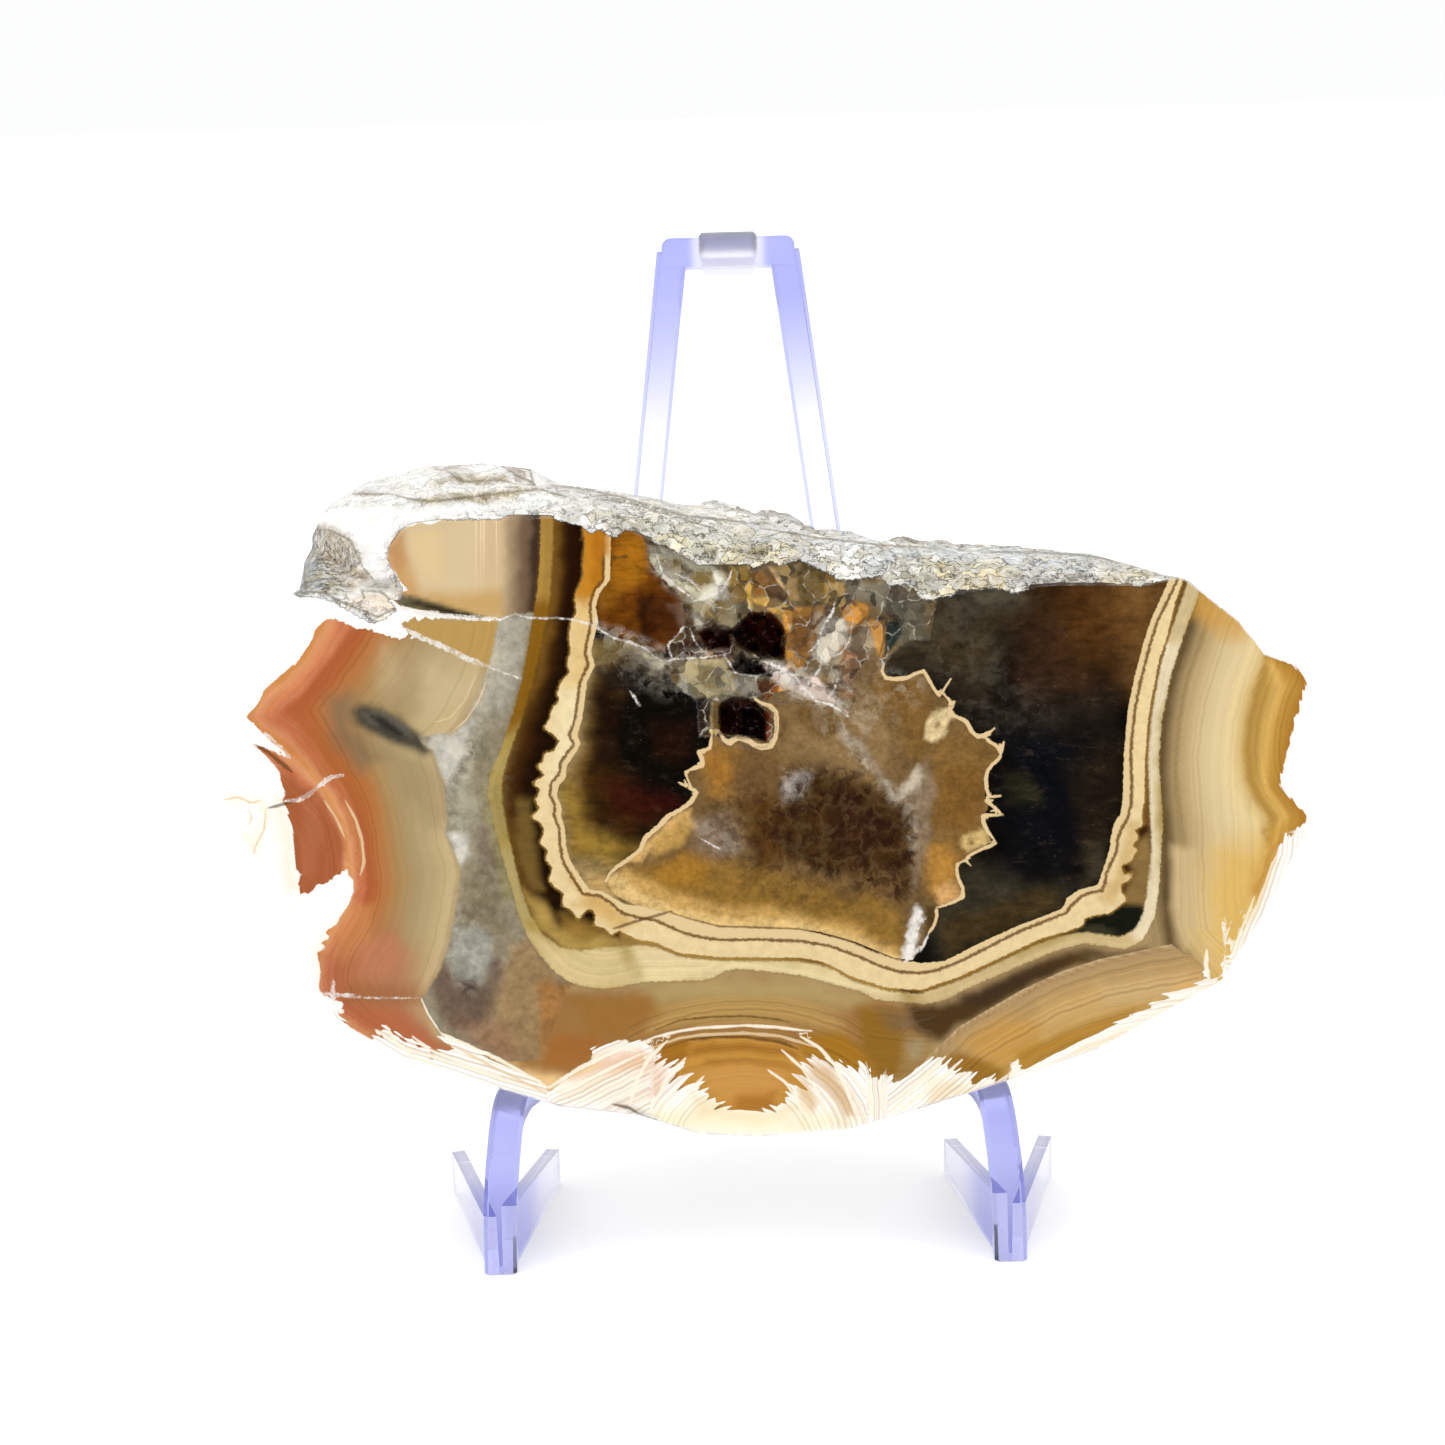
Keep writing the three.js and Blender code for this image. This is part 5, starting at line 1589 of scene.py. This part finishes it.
def easel_material(settings):
    t = Tree("acrylic_tint_and_painted_glow")
    place = t.coordinate("Object")
    # millimetres across, back and up, then aside of the middle, and behind the front of the leaning frame
    x, y, z = [value * 1000 for value in t.split(place)]
    aside = abs(x + EASEL_OFFSET)
    behind = y - z * EASEL_LEAN + EASEL_FRONT
    # painted edge glow: the base colour below turns lavender on the leaning frame, most on faces turned
    # sideways, low down and at the top corners, less at the back of its feet, and clear elsewhere; it stands
    # in for light that runs inside the acrylic and shows at its edges, over the acrylic's own faint tint in
    # the absorption
    frame_part = 1 - behind.step(1.6, 3.2)
    corner = aside.step(2.8, 4.2) * z.step(70, 86)
    lower = 1 - z.step(14, 22)
    sideways_glow = abs(t.split(t.coordinate("Normal"))[0]).step(0.25, 0.7)
    shown = (corner.most(lower) * 0.75).most(sideways_glow)
    far_end = lower * y.step(-27, -17)
    # strength: how much of the painted edge glow each place gets
    strength = frame_part * (shown + t.noise(place, 90, 2) * 0.35).clip() * (1 - far_end * 0.75)
    bend = z.step(9, 12) * (1 - z.step(17, 20)) * (1 - y.step(-14, -8))
    hinge = (1 - aside.step(7.5, 8)) * z.step(84, 86)
    look = {
        "Base Color": t.mix(strength, (*settings.clear, 1), (*settings.tint, 1)),
        "Roughness": bend.most(hinge) * 0.3 + 0.03,
        "IOR": ACRYLIC_IOR,
        "Transmission Weight": 1,
    }
    depth = {"Color": (*settings.depth_tint, 1), "Density": settings.density}
    return t.finish(t.principled(look), t.add("ShaderNodeVolumeAbsorption", {}, depth))


def plain_material(name, tint, glow=0):
    t = Tree(name)
    look = {
        "Base Color": (*tint, 1),
        "Roughness": 0.8,
        "Specular IOR Level": 0.1,
        "Emission Color": (1, 1, 1, 1),
        "Emission Strength": glow,
    }
    return t.finish(t.principled(look))


def link(name, data):
    piece = bpy.data.objects.new(name, data)
    bpy.context.scene.collection.objects.link(piece)
    return piece


def new_object(name, mesh, material):
    mesh.materials.append(material)
    return link(name, mesh)


def sheet(name, corners, height, material):
    """A flat rectangle between two corners, with its normal up before it is placed."""
    left, near, right, far = corners
    ring = [(left, near, height), (right, near, height), (right, far, height), (left, far, height)]
    mesh = bpy.data.meshes.new(name)
    mesh.from_pydata(ring, [], [(0, 1, 2, 3)])
    return new_object(name, mesh, material)


def rounded_easel_mesh():
    """The CAD easel with its flat stretches joined into whole faces, ready for a bevel."""
    shape = bmesh.new()
    shape.from_mesh(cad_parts["clear_easel"].data)
    bmesh.ops.remove_doubles(shape, verts=shape.verts, dist=SAME_PLACE)
    bmesh.ops.dissolve_limit(shape, angle_limit=FLAT_ANGLE, verts=shape.verts, edges=shape.edges)
    mesh = bpy.data.meshes.new("clear_stand")
    shape.to_mesh(mesh)
    shape.free()
    for name in ("custom_normal", "sharp_edge", "sharp_face"):
        if name in mesh.attributes:
            mesh.attributes.remove(mesh.attributes[name])
    mesh.shade_smooth()
    mesh.set_sharp_from_angle(angle=EASEL_CREASE)
    return mesh


def facing(point):
    """A placement at a point of the stone's own frame, looking square at the polished face."""
    return Matrix.Translation((PLACE @ Vector(point)) * MM) @ PLACE.to_3x3().to_4x4()


class StoneSettings(bpy.types.PropertyGroup):
    gloss: bpy.props.FloatProperty(
        name="Face roughness", description="Roughness of the polished face", default=0.12, min=0.02, max=0.6
    )
    lumps: bpy.props.FloatProperty(
        name="Lumps", description="Height of the small lumps of the back, mm", default=1.0, min=0, max=2
    )
    line_strength: bpy.props.FloatProperty(
        name="Growth lines", description="Contrast of the fine growth lines", default=0.85, min=0, max=2
    )
    tone: bpy.props.FloatProperty(
        name="Tone", description="Brightness of the face's colours", default=0.93, min=0.2, max=1.5
    )
    rind: bpy.props.FloatVectorProperty(
        name="Rind", description="Main colour of the weathered skin", default=(0.42, 0.39, 0.34), **COLOUR
    )


class EaselSettings(bpy.types.PropertyGroup):
    # tint and clear are the two ends of the painted edge glow: lavender where light running inside the
    # acrylic shows at its edges, nearly clear elsewhere
    tint: bpy.props.FloatVectorProperty(
        name="Tint", description="Colour where the acrylic shows most", default=(0.4, 0.42, 0.86), **COLOUR
    )
    clear: bpy.props.FloatVectorProperty(
        name="Clear", description="Colour where the acrylic shows least", default=(0.95, 0.95, 0.99), **COLOUR
    )
    depth_tint: bpy.props.FloatVectorProperty(
        name="Depth tint", description="Colour of light inside it", default=(0.5, 0.52, 0.86), **COLOUR
    )
    density: bpy.props.FloatProperty(
        name="Density", description="How fast light is absorbed, per metre", default=14, min=0, max=1000
    )
    bevel: bpy.props.FloatProperty(
        name="Edge rounding",
        description="Radius of the rounded edges",
        default=0.0003,
        min=0,
        max=0.002,
        unit="LENGTH",
        subtype="DISTANCE",
    )


class StudioSettings(bpy.types.PropertyGroup):
    floor: bpy.props.FloatVectorProperty(
        name="Floor", description="Colour of the floor", default=(0.9, 0.9, 0.91), **COLOUR
    )
    card: bpy.props.FloatVectorProperty(
        name="Card", description="Colour of the reflected card", default=(0.02, 0.02, 0.02), **COLOUR
    )
    glow: bpy.props.FloatProperty(
        name="Glow", description="Light that the floor gives by itself", default=0.36, min=0, max=2
    )
    surround: bpy.props.FloatProperty(
        name="Surround", description="Brightness of the soft light from all sides", default=0.99, min=0, max=3
    )
    power: bpy.props.FloatProperty(
        name="Light", description="Power of the lights", default=1.6, min=0, max=200, unit="POWER"
    )


class AGATE_OT_stone(bpy.types.Operator):
    """Add the half nodule in place of the CAD stone"""

    bl_idname = "agate.add_stone"
    bl_label = "Add stone"

    def execute(self, context):
        settings = context.scene.agate_stone
        piece = new_object("agate_stone", stone_mesh(settings), stone_material(settings))
        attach(piece, "root")
        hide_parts("agate_half_nodule")
        return {"FINISHED"}


class AGATE_OT_easel(bpy.types.Operator):
    """Add the easel with rounded edges in place of the CAD easel"""

    bl_idname = "agate.add_easel"
    bl_label = "Add easel"

    def execute(self, context):
        settings = context.scene.agate_easel
        piece = new_object("clear_stand", rounded_easel_mesh(), easel_material(settings))
        bevel = piece.modifiers.new("edges", "BEVEL")
        bevel.width = settings.bevel
        bevel.segments = BEVEL_STEPS
        bevel.limit_method = "ANGLE"
        bevel.angle_limit = BEVEL_ANGLE
        bevel.harden_normals = True
        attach(piece, "root")
        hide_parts("clear_easel")
        return {"FINISHED"}


class AGATE_OT_studio(bpy.types.Operator):
    """Add floor, dark card, lights and camera"""

    bl_idname = "agate.add_studio"
    bl_label = "Add studio"

    def execute(self, context):
        settings = context.scene.agate_studio
        white = plain_material("studio_white", settings.floor, settings.glow)
        floor = sheet("floor", FLOOR_CORNERS, FLOOR_LEVEL, white)
        # a dark card behind the camera, which shows only in reflections
        card = sheet("card", CARD_CORNERS, 0, plain_material("studio_dark", settings.card))
        card.matrix_world = facing(CARD_MIDDLE)
        for ray in ("camera", "diffuse", "shadow", "transmission"):
            setattr(card, "visible_" + ray, False)
        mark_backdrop(floor, card)
        low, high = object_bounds()
        aim = (low + high) / 2
        for name, spot, size, share in LIGHTS:
            lamp = bpy.data.lights.new(name, "AREA")
            lamp.shape = "DISK"
            lamp.size = size
            lamp.energy = settings.power * share
            light = link(name, lamp)
            light.location = spot
            light.rotation_mode = "QUATERNION"
            light.rotation_quaternion = (aim - Vector(spot)).to_track_quat("-Z", "Y")
            light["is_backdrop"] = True
        world = bpy.data.worlds.new("soft")
        world.use_nodes = True
        background = world.node_tree.nodes["Background"].inputs
        background[0].default_value = SURROUND_TINT
        background[1].default_value = settings.surround
        context.scene.world = world
        camera = link("camera", bpy.data.cameras.new("camera"))
        camera.matrix_world = facing(EYE)
        camera.data.lens = LENS
        camera.data.sensor_width = SENSOR
        camera.data.clip_start = NEAR_CLIP
        camera.data.clip_end = FAR_CLIP
        context.scene.camera = camera
        context.scene.view_settings.view_transform = "Standard"
        # light that runs along inside the acrylic is reflected at its walls, which counts as glossy
        for kind in ("max_bounces", "transmission_bounces", "glossy_bounces"):
            setattr(context.scene.cycles, kind, BOUNCES)
        return {"FINISHED"}


# each group of settings, and the operator that it belongs to
GROUPS = {
    "agate_stone": (StoneSettings, AGATE_OT_stone),
    "agate_easel": (EaselSettings, AGATE_OT_easel),
    "agate_studio": (StudioSettings, AGATE_OT_studio),
}


class AGATE_PT_panel(bpy.types.Panel):
    """Lists what the add-on can build"""

    bl_label = "Agate half nodule"
    bl_idname = "AGATE_PT_panel"
    bl_space_type = "VIEW_3D"
    bl_region_type = "UI"
    bl_category = "Agate"

    def draw(self, context):
        for name, (_, operator) in GROUPS.items():
            group = getattr(context.scene, name)
            box = self.layout.box()
            for setting in group.__annotations__:
                box.prop(group, setting)
            box.operator(operator.bl_idname)


def register():
    for name, (settings, operator) in GROUPS.items():
        bpy.utils.register_class(settings)
        bpy.utils.register_class(operator)
        setattr(bpy.types.Scene, name, bpy.props.PointerProperty(type=settings))
    bpy.utils.register_class(AGATE_PT_panel)


def unregister():
    bpy.utils.unregister_class(AGATE_PT_panel)
    for name, (settings, operator) in GROUPS.items():
        delattr(bpy.types.Scene, name)
        bpy.utils.unregister_class(operator)
        bpy.utils.unregister_class(settings)


def main():
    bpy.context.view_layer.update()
    register()
    bpy.ops.agate.add_stone()
    bpy.ops.agate.add_easel()
    bpy.ops.agate.add_studio()
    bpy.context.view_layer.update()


if __name__ == "__main__":
    main()
